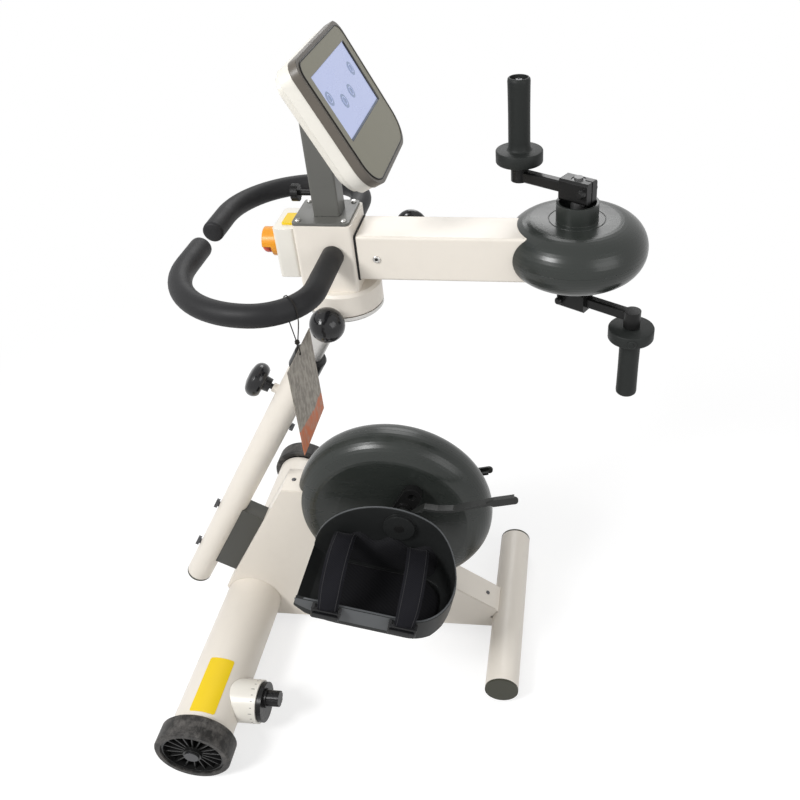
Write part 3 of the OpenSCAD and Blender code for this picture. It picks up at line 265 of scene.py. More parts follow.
@dataclass(frozen=True)
class Moulded:
    """Moulded plastic with a fine grain and handling marks."""

    colour: Colour
    roughness: float = 0.5
    grain: float = 0.9 * MM
    depth: float = 0.06 * MM
    wear: float = 0.25
    edge: float = 0.8 * MM
    shine: float = 0.22

    def dress(self, g: Graph) -> None:
        """Builds the finish in a graph."""
        grain = g.noise(self.grain, 2.0)
        smear = g.ramp(g.noise(0.05, 5.0, 0.6, (3.0, 1.0, 1.0)), (0.45, 0.0), (0.75, 1.0))
        cloud = g.noise(0.09, 2.0)
        pale = tuple(min(1.0, c * 1.5 + 0.012) for c in self.colour)
        g.set(Base_Color=g.blend(smear * self.wear, g.blend(cloud * 0.4, self.colour,
                                 tuple(c * 0.8 for c in self.colour)), pale),
              Roughness=self.roughness + smear * 0.10 - cloud * 0.06,
              Normal=g.bump(grain, self.depth, 0.5, g.rounded(self.edge)),
              Specular_IOR_Level=self.shine)


@dataclass(frozen=True)
class Polished:
    """Polished thermoset, as on ball knobs, with hairline scratches."""

    colour: Colour
    roughness: float = 0.12
    edge: float = 1.0 * MM

    def dress(self, g: Graph) -> None:
        """Builds the finish in a graph."""
        hair = g.ramp(g.noise(0.5 * MM, 4.0, 0.7, (24.0, 1.0, 1.0)), (0.62, 0.0), (0.8, 1.0))
        film = g.noise(0.02, 3.0)
        g.set(Base_Color=g.blend(film * 0.3, self.colour, tuple(c * 1.4 for c in self.colour)),
              Roughness=self.roughness + hair * 0.18 + film * 0.08,
              Normal=g.bump(hair, 0.01 * MM, 0.3, g.rounded(self.edge)),
              Specular_IOR_Level=0.35, Coat_Weight=0.1, Coat_Roughness=0.05)


@dataclass(frozen=True)
class Brushed:
    """Bright metal brushed or turned along one direction."""

    colour: Colour
    along: Point = (1.0, 1.0, 30.0)
    roughness: float = 0.28
    edge: float = 0.5 * MM

    def dress(self, g: Graph) -> None:
        """Builds the finish in a graph."""
        lines = g.noise(0.35 * MM, 3.0, 0.7, self.along)
        film = g.noise(0.03, 3.0)
        g.set(Base_Color=g.blend(film * 0.5, self.colour, tuple(c * 0.82 for c in self.colour)),
              Metallic=1.0, Roughness=self.roughness + lines * 0.16 + film * 0.06,
              Normal=g.bump(lines, 0.02 * MM, 0.4, g.rounded(self.edge)))


@dataclass(frozen=True)
class Foam:
    """Closed-cell foam sleeve: dull, with tiny pores and rubbed patches."""

    colour: Colour
    pore: float = 0.8 * MM

    def dress(self, g: Graph) -> None:
        """Builds the finish in a graph."""
        pores = g.cells(self.pore)
        swell = g.noise(6 * MM, 3.0)
        rubbed = g.ramp(g.noise(0.04, 4.0), (0.5, 0.0), (0.72, 1.0))
        pale = tuple(c * 1.6 + 0.01 for c in self.colour)
        g.set(Base_Color=g.blend(rubbed * 0.3 + pores * 0.12, self.colour, pale),
              Roughness=0.44 + rubbed * 0.12 + pores * 0.12,
              Normal=g.bump(pores * 0.6 + swell, 0.12 * MM, 0.5),
              Specular_IOR_Level=0.20)


@dataclass(frozen=True)
class Scuffed:
    """Grey wheel plastic, rubbed pale where it has rolled and been handled."""

    colour: Colour
    pale: Colour
    amount: float = 0.75

    def dress(self, g: Graph) -> None:
        """Builds the finish in a graph."""
        patch = g.ramp(g.noise(0.022, 6.0, 0.68), (0.44, 0.0), (0.66, 1.0))
        streak = g.ramp(g.noise(1.5 * MM, 4.0, 0.7, (1.0, 12.0, 1.0)), (0.5, 0.0), (0.7, 1.0))
        rub = patch * self.amount + streak * 0.15
        grain = g.noise(1.2 * MM, 3.0)
        g.set(Base_Color=g.blend(rub, self.colour, self.pale),
              Roughness=0.48 + patch * 0.2,
              Normal=g.bump(grain + streak * 0.5, 0.12 * MM, 0.6, g.rounded(1.5 * MM)),
              Specular_IOR_Level=0.25)


@dataclass(frozen=True)
class Webbing:
    """Woven tape: fine cross ribs with a lengthwise twill."""

    colour: Colour
    rib: float = 1.4 * MM
    turn: Point = (0.0, 0.0, 0.0)

    def dress(self, g: Graph) -> None:
        """Builds the finish in a graph."""
        across = g.node("ShaderNodeTexWave", {"bands_direction": "X"},
                        {"Vector": g.place((1, 1, 1), self.turn), "Scale": 0.314 / self.rib})
        along = g.node("ShaderNodeTexWave", {"bands_direction": "DIAGONAL"},
                       {"Vector": g.place((1, 1, 1), self.turn), "Scale": 0.2 / self.rib})
        lint = g.ramp(g.noise(3 * MM, 5.0, 0.75), (0.6, 0.0), (0.8, 1.0))
        weave = across * 0.6 + along * 0.4
        pale = tuple(c * 2.2 + 0.01 for c in self.colour)
        g.set(Base_Color=g.blend(weave * 0.45 + lint * 0.25, self.colour, pale),
              Roughness=0.82 - weave * 0.12,
              Normal=g.bump(weave, 0.22 * MM, 0.7),
              Specular_IOR_Level=0.12, Sheen_Weight=0.04, Sheen_Roughness=0.4)


@dataclass(frozen=True)
class Card:
    """Printed card or foil, with a soft fibre and faint print mottling."""

    colour: Colour
    roughness: float = 0.6
    fibre: float = 0.05 * MM

    def dress(self, g: Graph) -> None:
        """Builds the finish in a graph."""
        fibre = g.noise(0.5 * MM, 4.0, 0.7)
        cloud = g.noise(0.03, 3.0)
        g.set(Base_Color=g.blend(cloud * 0.5, self.colour, tuple(c * 0.9 for c in self.colour)),
              Roughness=self.roughness + fibre * 0.1,
              Normal=g.bump(fibre, self.fibre, 0.4))


@dataclass(frozen=True)
class Glass:
    """A smooth display foil with a faint smear and a slow change of tone."""

    colour: Colour
    roughness: float = 0.2
    glow: float = 0.0

    def dress(self, g: Graph) -> None:
        """Builds the finish in a graph."""
        smear = g.ramp(g.noise(0.018, 4.0, 0.6, (1.0, 3.0, 1.0)), (0.45, 0.0), (0.8, 1.0))
        tone = g.noise(0.10, 1.0)
        g.set(Base_Color=g.blend(tone * 0.4 + smear * 0.08, self.colour, tuple(c * 0.86 for c in self.colour)),
              Roughness=self.roughness + smear * 0.12,
              Normal=g.bump(smear, 0.01 * MM, 0.3),
              Emission_Color=g.blend(tone * 0.3, self.colour, tuple(c * 0.8 for c in self.colour)),
              Emission_Strength=self.glow, Specular_IOR_Level=0.3)


@dataclass(frozen=True)
class Printed:
    """A hanging card with a worn print: mottled ground and a warm band along its foot."""

    paper: Colour
    ink: Colour
    band: Colour
    foot: float = 0.662

    def dress(self, g: Graph) -> None:
        """Builds the finish in a graph."""
        here = g.node("ShaderNodeSeparateXYZ", None, {"Vector": g.place()}, 2)
        across = Channel(g, here.socket.node.outputs[1])
        edge = here + across * 0.12 + g.noise(0.03, 3.0) * 0.02
        low = g.node("ShaderNodeMath", {"operation": "LESS_THAN"}, {0: edge, 1: self.foot})
        mottle = g.ramp(g.noise(0.007, 6.0, 0.7, (1.0, 1.2, 2.2)), (0.42, 0.0), (0.58, 1.0))
        fibre = g.noise(0.5 * MM, 4.0, 0.7)
        ground = g.blend(mottle * 0.8, self.paper, self.ink)
        g.set(Base_Color=g.blend(low * (mottle * 0.4 + 0.55), ground, self.band),
              Roughness=0.45 + fibre * 0.15,
              Normal=g.bump(fibre + mottle * 0.3, 0.05 * MM, 0.4))


class Finish(Enum):
    """The finishes of this machine, by the record's material slot."""

    CREAM_PAINT = ("cream_paint", PowderCoat((0.82, 0.765, 0.685)))
    CREAM_PLASTIC = ("cream_plastic", Moulded((0.82, 0.79, 0.72), 0.34, 1.4 * MM, 0.03 * MM, 0.05, 1.5 * MM, 0.45))
    DRUM_PLASTIC = ("drum_plastic", Moulded((0.026, 0.030, 0.027), 0.30, 1.1 * MM, 0.04 * MM, 0.12, 1.0 * MM, 0.38))
    GREY_PAINT = ("grey_paint", PowderCoat((0.115, 0.115, 0.105), 0.40, 1.0 * MM, 0.2))
    DARK_BRACKET = ("dark_bracket", PowderCoat((0.040, 0.040, 0.033), 0.44, 1.0 * MM, 0.2))
    GUIDE_BLACK = ("dark_bracket", Moulded((0.016, 0.017, 0.016), 0.36, 1.0 * MM, 0.04 * MM, 0.2, 0.8 * MM, 0.3))
    BRIGHT_STEEL = ("bright_steel", Brushed((0.60, 0.59, 0.57)))
    SILVER_POST = ("silver_post", Brushed((0.62, 0.61, 0.59), (30.0, 1.0, 30.0), 0.32))
    HIDDEN_METAL = ("hidden_metal", Brushed((0.45, 0.45, 0.45), (1.0, 1.0, 1.0), 0.5))
    BLACK_GLOSS = ("black_gloss", Polished((0.012, 0.012, 0.013)))
    BLACK_MATTE = ("black_matte", Moulded((0.010, 0.010, 0.010), 0.30, 0.8 * MM, 0.03 * MM, 0.15, 0.8 * MM))
    BLACK_RUBBER = ("black_rubber", Moulded((0.02, 0.02, 0.02), 0.7, 1.5 * MM, 0.1 * MM, 0.3, 1.0 * MM))
    WHEEL_GREY = ("wheel_grey", Scuffed((0.020, 0.019, 0.018), (0.17, 0.16, 0.15), 0.6))
    FOAM = ("foam", Foam((0.016, 0.016, 0.017)))
    TRAY_PLASTIC = ("tray_plastic", Moulded((0.015, 0.016, 0.016), 0.36, 1.2 * MM, 0.06 * MM, 0.15, 1.2 * MM))
    STRAP_WEB = ("strap_web", Webbing((0.004, 0.004, 0.006)))
    CAP_OLIVE = ("cap_olive", Moulded((0.052, 0.052, 0.038), 0.42, 1.0 * MM, 0.05 * MM, 0.2, 1.0 * MM))
    YELLOW_PLASTIC = ("yellow_plastic", Moulded((0.82, 0.33, 0.02), 0.3, 1.0 * MM, 0.02 * MM, 0.1, 1.0 * MM, 0.45))
    RED_PLASTIC = ("red_plastic", Moulded((0.62, 0.06, 0.02), 0.3, 1.0 * MM, 0.02 * MM, 0.1, 1.0 * MM, 0.45))
    BEZEL_BROWN = ("bezel_brown", Moulded((0.115, 0.100, 0.082), 0.36, 1.0 * MM, 0.03 * MM, 0.1, 2.0 * MM, 0.45))
    PANEL_CHAMPAGNE = ("panel_champagne", Card((0.235, 0.222, 0.160), 0.36, 0.02 * MM))
    TAG_CARD = ("tag_card", Card((0.30, 0.27, 0.22)))
    TAG_CORD = ("tag_cord", Webbing((0.02, 0.018, 0.016), 0.5 * MM))

    GRIP = ("foam", Foam((0.016, 0.018, 0.017), 0.5 * MM))
    DARK_STEEL = ("black_gloss", Brushed((0.10, 0.10, 0.105), (1.0, 1.0, 1.0), 0.34))
    # Painted highlight: a paler copy of the tray plastic that draws the light line along the trays' top edge.
    PAINTED_RIM_HIGHLIGHT = ("tray_plastic", Moulded((0.09, 0.095, 0.10), 0.4, 0.8 * MM, 0.02 * MM, 0.15, 0.3 * MM))
    # Painted light: a paler copy of the tray plastic where the outer wall and the toe face the lamps.
    PAINTED_LIT_TRAY = ("tray_plastic", Moulded((0.10, 0.105, 0.11), 0.42, 1.0 * MM, 0.03 * MM, 0.2, 0.3 * MM))
    LINER = ("strap_web", Webbing((0.004, 0.004, 0.005), 2.2 * MM))
    STRAP_LINE = ("strap_web", Webbing((0.030, 0.030, 0.032), 1.0 * MM))
    BUCKLE = ("black_matte", Moulded((0.012, 0.012, 0.013), 0.3, 0.8 * MM, 0.02 * MM, 0.2, 0.4 * MM))
    SEAL = ("black_matte", Moulded((0.012, 0.012, 0.012), 0.5, 0.8 * MM, 0.02 * MM, 0.1, 0.3 * MM))
    DISPLAY = ("screen_glass", Glass((0.48, 0.54, 0.80), 0.24, 0.30))
    DISPLAY_EDGE = ("screen_glass", Glass((0.10, 0.13, 0.20), 0.3))
    ICON = ("screen_glass", Glass((0.26, 0.33, 0.50), 0.25, 0.25))
    STICKER = ("yellow_plastic", Card((0.88, 0.62, 0.005), 0.42, 0.01 * MM))
    YELLOW_CAP = ("yellow_plastic", Moulded((0.88, 0.60, 0.01), 0.3, 1.0 * MM, 0.02 * MM, 0.05, 1.0 * MM))
    SHAFT_STEEL = ("bright_steel", Brushed((0.20, 0.20, 0.20), (1.0, 1.0, 1.0), 0.42))
    HUB_BLACK = ("wheel_grey", Moulded((0.012, 0.012, 0.012), 0.38, 1.0 * MM, 0.05 * MM, 0.2, 0.8 * MM, 0.3))
    INK = ("black_matte", Moulded((0.03, 0.03, 0.03), 0.6, 0.5 * MM, 0.01 * MM, 0.1, 0.1 * MM))
    PRINTED_CARD = ("tag_card", Printed((0.33, 0.30, 0.25), (0.13, 0.11, 0.09), (0.55, 0.13, 0.03)))

    @property
    def slot(self) -> str:
        """The record's material slot."""
        return self.value[0]

    def material(self) -> bpy.types.Material:
        """The finish's material, made once."""
        name = f"finish_{self.name.lower()}"
        if name not in bpy.data.materials:
            g = Graph(name)
            self.value[1].dress(g)
        return bpy.data.materials[name]


def by_slot(slot: str) -> Finish | None:
    """The finish of a material slot, or None."""
    return next((f for f in Finish if f.slot == slot), None)


OWN_FINISH = {"base_screws": Finish.DARK_STEEL, "hang_tag": Finish.PRINTED_CARD,
              "near_wheel_hub": Finish.HUB_BLACK, "far_wheel_hub": Finish.HUB_BLACK,
              "arm_shaft": Finish.SHAFT_STEEL, "leg_shaft": Finish.SHAFT_STEEL,
              "near_calf_bar": Finish.GUIDE_BLACK, "far_calf_bar": Finish.GUIDE_BLACK}


def dress_nodes() -> None:
    """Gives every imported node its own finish, or that of its material slot."""
    for row in frame["record"]["subparts"]:
        finish = OWN_FINISH.get(row["node"]) or by_slot(row["material_slot"])
        node = frame["nodes"][row["node"]]
        if finish is None:
            LOG.warning("no finish for %s, slot %s", row["node"], row["material_slot"])
            continue
        node.data.materials.clear()
        node.data.materials.append(finish.material())
        LOG.info("dressed %s in %s", row["node"], finish.name)


class Shape:
    """Points and faces of a piece while it is built, in metres."""

    def __init__(self) -> None:
        """Starts with nothing."""
        self.points: list[Vector] = []
        self.faces: list[tuple[int, ...]] = []

    def skin(self, loops: Sequence[Sequence[Vector]], closed: bool = False, caps: bool = True) -> "Shape":
        """Covers a row of loops that have the same number of points.

        Args:
            loops: The loops, in order.
            closed: Whether the last loop joins the first.
            caps: Whether the end loops are filled.

        Returns:
            This shape.
        """
        start, size, rows = len(self.points), len(loops[0]), len(loops)
        self.points += [Vector(p) for loop in loops for p in loop]
        for row in range(rows if closed else rows - 1):
            here, there = start + row * size, start + (row + 1) % rows * size
            for k in range(size):
                j = (k + 1) % size
                self.faces.append((here + k, here + j, there + j, there + k))
        if caps and not closed:
            self.faces.append(tuple(start + k for k in range(size)))
            self.faces.append(tuple(start + (rows - 1) * size + k for k in range(size)))
        return self

    def tube(self, path: Sequence[Vector], radius: float | Sequence[float], sides: int = 16,
             closed: bool = False) -> "Shape":
        """Sweeps a circle along a path.

        Args:
            path: The path's points.
            radius: One radius, or one for each point.
            sides: Points round the tube.
            closed: Whether the path is a ring.

        Returns:
            This shape.
        """
        path = [Vector(p) for p in path]
        count = len(path)
        radii = [radius] * count if isinstance(radius, float) else list(radius)
        across = None
        loops = []
        for i, point in enumerate(path):
            ahead = path[(i + 1) % count] if closed else path[min(i + 1, count - 1)]
            behind = path[i - 1] if closed or i else path[0]
            along = (ahead - behind).normalized()
            if across is None:
                across = along.orthogonal()
            across = (across - along * across.dot(along)).normalized()
            side = along.cross(across)
            loops.append([point + (across * math.cos(a) + side * math.sin(a)) * radii[i]
                          for a in turns(sides)])
        return self.skin(loops, closed)

    def revolve(self, profile: Sequence[tuple[float, float]], place: Matrix, steps: int = 64) -> "Shape":
        """Turns a profile of radii and heights about a place's Z axis."""
        return self.skin([[place @ Vector((r * math.cos(a), r * math.sin(a), z)) for a in turns(steps)]
                          for r, z in profile])

    def slab(self, outline: Sequence[tuple[float, float]], low: float, high: float, place: Matrix) -> "Shape":
        """Raises an outline in a place's X-Y plane from one level to another."""
        return self.skin([[place @ Vector((x, y, z)) for x, y in outline] for z in (low, high)])

    def brick(self, low: Point, high: Point, place: Matrix, cut: float = 1.0 * MM) -> "Shape":
        """Adds a block with bevelled upright edges."""
        outline = rounded_outline(high[0] - low[0], high[1] - low[1], cut, cut, 3)
        middle = ((low[0] + high[0]) / 2, (low[1] + high[1]) / 2)
        moved = [(x + middle[0], y + middle[1]) for x, y in outline]
        inner = [(middle[0] + (x - middle[0]) * 0.97, middle[1] + (y - middle[1]) * 0.97) for x, y in moved]
        levels = [(low[2], inner), (low[2] + cut, moved), (high[2] - cut, moved), (high[2], inner)]
        return self.skin([[place @ Vector((x, y, z)) for x, y in loop] for z, loop in levels])

    def piece(self, name: str, finish: "Finish", body: str, sharp: float = 40.0) -> bpy.types.Object:
        """Makes the piece, which rides on a body.

        Args:
            name: The piece's name.
            finish: Its finish.
            body: The body that it moves with.
            sharp: Edges that turn by more degrees than this stay crisp.

        Returns:
            The piece's object.
        """
        mesh = bpy.data.meshes.new(name)
        mesh.from_pydata([tuple(p) for p in self.points], [], self.faces)
        work = bmesh.new()
        work.from_mesh(mesh)
        bmesh.ops.remove_doubles(work, verts=work.verts, dist=1e-6)
        bmesh.ops.recalc_face_normals(work, faces=work.faces)
        work.to_mesh(mesh)
        work.free()
        mesh.shade_smooth()
        mesh.set_sharp_from_angle(angle=math.radians(sharp))
        mesh.materials.append(finish.material())
        made = bpy.data.objects.new(name, mesh)
        bpy.context.scene.collection.objects.link(made)
        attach(made, body)
        LOG.info("made %s with %d faces", name, len(mesh.polygons))
        return made


def turns(steps: int) -> list[float]:
    """Angles that divide a full turn evenly."""
    return [2.0 * math.pi * k / steps for k in range(steps)]


def arc(middle: tuple[float, float], radius: float, start: float, end: float,
        steps: int) -> list[tuple[float, float]]:
    """Points of an arc in a plane, with its angles in degrees."""
    angles = [math.radians(start + (end - start) * i / steps) for i in range(steps + 1)]
    return [(middle[0] + radius * math.cos(a), middle[1] + radius * math.sin(a)) for a in angles]


def rounded_outline(length: float, width: float, first: float, last: float,
                    steps: int = 10) -> list[tuple[float, float]]:
    """A rectangle with round corners about the origin.

    Args:
        length: Its size along X.
        width: Its size along Y.
        first: The corner radius at its low X end.
        last: The corner radius at its high X end.
        steps: Points on a corner.

    Returns:
        Its points, in order.
    """
    x, y = length / 2, width / 2
    return (arc((x - last, y - last), last, 0, 90, steps) + arc((first - x, y - first), first, 90, 180, steps)
            + arc((first - x, first - y), first, 180, 270, steps) + arc((x - last, last - y), last, 270, 360, steps))


def middle_of(node: str) -> Vector:
    """The middle of a node's box."""
    low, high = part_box(node)
    return (Vector(low) + Vector(high)) / 2


def side_of(side: str) -> int:
    """The sign of Y on the near or the far side."""
    return -1 if side == "near" else 1


@dataclass
class Handlebar:
    """The handlebar's foam sleeves and the card that hangs from them."""

    foam_radius: float = 16.0 * MM
    bend: float = 72.0 * MM
    sweep: float = 130.0 * MM
    root: float = 42.3 * MM
    tip: float = 22.0 * MM
    string_radius: float = 0.8 * MM
    route: Sequence[tuple[float, float]] = (
        (2.2, -51), (5, -43), (9, -33), (12.8, -23), (16, -13), (17.6, -2), (16.6, 6.5), (12.2, 13), (5, 17.2),
        (-5, 17.2), (-12.2, 13), (-16.6, 6.5), (-17.6, -2), (-16, -13), (-12.8, -23), (-9, -33), (-5, -43),
        (-2.2, -51), (-2.2, -58), (-3.1, -63.5), (-3.6, -68.4), (-2.5, -71), (0, -72), (2.5, -71), (3.6, -68.4),
        (3.1, -63.5), (2.2, -58), (2.2, -53))
    knot_z: float = -52.0 * MM

    def bar_x(self) -> float:
        """Where the bar leaves the head."""
        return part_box("hand_foams")[1][0] - self.foam_radius

    def level(self) -> float:
        """The bar's height."""
        return middle_of("hand_foams")[2]

    def reach(self) -> float:
        """How far the bar reaches to each side."""
        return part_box("hand_foams")[1][1] - self.foam_radius

    def line(self, side: str) -> list[Vector]:
        """The middle line of one sleeve, from the head to its tip."""
        reach, bend_x = self.reach(), self.bar_x() - self.bend
        flat = [(self.bar_x(), -self.root), (self.bar_x(), -self.root - 0.03)]
        flat += arc((bend_x, self.bend - reach), self.bend, 0, -90, 14)
        flat += arc((bend_x - MM, self.sweep - reach), self.sweep, -90, -180, 20)
        flat += [(flat[-1][0], -self.tip - 6 * MM), (flat[-1][0], -self.tip - 2 * MM), (flat[-1][0], -self.tip)]
        return [Vector((x, y * -side_of(side), self.level())) for x, y in flat]

    def sleeves(self) -> None:
        """Makes both foam sleeves, with softly rounded ends."""
        shape = Shape()
        for side in ("near", "far"):
            line = self.line(side)
            radii = [self.foam_radius] * (len(line) - 2) + [self.foam_radius - 0.6 * MM, self.foam_radius - 4 * MM]
            radii[0] = self.foam_radius - 1.5 * MM
            line.insert(1, line[0].lerp(line[1], 0.1))
            radii.insert(1, self.foam_radius)
            shape.tube(line, radii, 32)
        foams = shape.piece("foam_sleeves", Finish.FOAM, "head", 60.0)
        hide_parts("hand_foams")

    def string_points(self) -> list[Vector]:
        """The string's route, in the plane square to the bar."""
        bend_x, bend_y = self.bar_x() - self.bend, self.bend - self.reach()
        tag_x = middle_of("hang_tag")[0]
        x = tag_x - bend_x
        y = -math.sqrt(self.bend ** 2 - x ** 2)
        turn = math.atan2(y, x)
        start = Vector((tag_x, bend_y + y, self.level()))
        return [start + Vector((a * math.cos(turn), a * math.sin(turn), z)) * MM for a, z in self.route]

    def string(self) -> None:
        """Makes the card's string and its knot."""
        points = self.string_points()
        curve = bpy.data.curves.new("tag_loop", "CURVE")
        curve.dimensions = "3D"
        curve.bevel_depth = self.string_radius
        curve.bevel_resolution = 3
        curve.use_fill_caps = True
        spline = curve.splines.new("POLY")
        spline.points.add(len(points) - 1)
        for place, point in zip(spline.points, points):
            place.co = (*point, 1.0)
        curve.materials.append(Finish.TAG_CORD.material())
        loop = bpy.data.objects.new("tag_loop", curve)
        bpy.context.scene.collection.objects.link(loop)
        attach(loop, "head")
        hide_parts("tag_string")
        knot_at = (points[0] + points[17]) / 2
        knot_at.z = self.level() + self.knot_z
        place = Matrix.Translation(knot_at)
        profile = [(0.4 * MM, -3.6 * MM), (2.4 * MM, -2.8 * MM), (3.6 * MM, -1.0 * MM), (3.0 * MM, 0.4 * MM),
                   (3.3 * MM, 1.6 * MM), (2.2 * MM, 3.0 * MM), (0.4 * MM, 3.5 * MM)]
        knot = Shape().revolve(profile, place, 20).piece("tag_knot", Finish.TAG_CORD, "head", 180.0)


@dataclass
class HandGrips:
    """The two turning hand grips."""

    radius: float = 16.0 * MM
    flange: float = 34.0 * MM
    thick: float = 18.0 * MM

    def grip(self, level: str, end_z: float, root_z: float, place: Vector) -> None:
        """Makes one grip.

        Args:
            level: upper or lower.
            end_z: The height of its free end.
            root_z: The height of its flange's inner face.
            place: Where its axis is.
        """
        up = 1.0 if end_z > root_z else -1.0
        turn = Matrix.Identity(4) if up > 0 else Matrix.Rotation(math.pi, 4, "X")
        frame_at = Matrix.Translation((place[0], place[1], root_z)) @ turn
        f, t, r, e = self.flange, self.thick, self.radius, abs(end_z - root_z)
        soft = 1.6 * MM
        rim = r - 3.4 * MM
        profile = [(6.1 * MM, 0.2 * MM), (f - soft, 0.0), (f - 0.4 * soft, 0.3 * soft), (f, soft), (f, t - soft),
                   (f - 0.4 * soft, t - 0.3 * soft), (f - soft, t), (r + 3.5 * MM, t), (r + 1.2 * MM, t + 0.8 * MM),
                   (r, t + 3.0 * MM), (r - 0.3 * MM, t + 12 * MM), (r - 0.5 * MM, (t + e) / 2),
                   (r - 0.2 * MM, e - 12 * MM), (r, e - 5 * MM), (r - 0.5 * MM, e - 1.6 * MM),
                   (r - 2.0 * MM, e), (rim, e), (rim - 0.4 * MM, e - 5 * MM), (0.2 * MM, e - 5 * MM)]
        shape = Shape().revolve(profile, frame_at)
        if level == "lower":
            out = Matrix.Translation((place[0], place[1] - f, root_z - t / 2)) @ Matrix.Rotation(math.pi / 2, 4, "X")
            shape.revolve([(0.1 * MM, 3.8 * MM), (2.5 * MM, 3.4 * MM), (3.2 * MM, 2.2 * MM), (5.4 * MM, 2.4 * MM),
                           (6.5 * MM, 1.4 * MM), (6.5 * MM, -3.0 * MM)][::-1], out, 32)
        made = shape.piece(f"{level}_grip_sleeve", Finish.GRIP, f"{level}_handle", 50.0)
        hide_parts(f"{level}_grip")
        head = [(0.1 * MM, e - 3.2 * MM), (2.2 * MM, e - 3.2 * MM), (2.4 * MM, e - 2.4 * MM), (4.2 * MM, e - 2.6 * MM),
                (5.2 * MM, e - 3.6 * MM), (5.2 * MM, e - 5.2 * MM)]
        Shape().revolve(head[::-1], frame_at, 32).piece(f"{level}_grip_screw", Finish.DARK_STEEL,
                                                        f"{level}_handle", 30.0)

    def build(self) -> None:
        """Makes both grips."""
        shaft = middle_of("arm_shaft")
        upper_low, upper_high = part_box("upper_grip")
        at = (Vector(upper_low) + Vector(upper_high)) / 2
        other = shaft * 2 - at
        self.grip("upper", upper_high[2], upper_low[2], at)
        lower_low, lower_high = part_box("lower_grip")
        self.grip("lower", lower_low[2], lower_high[2], other)


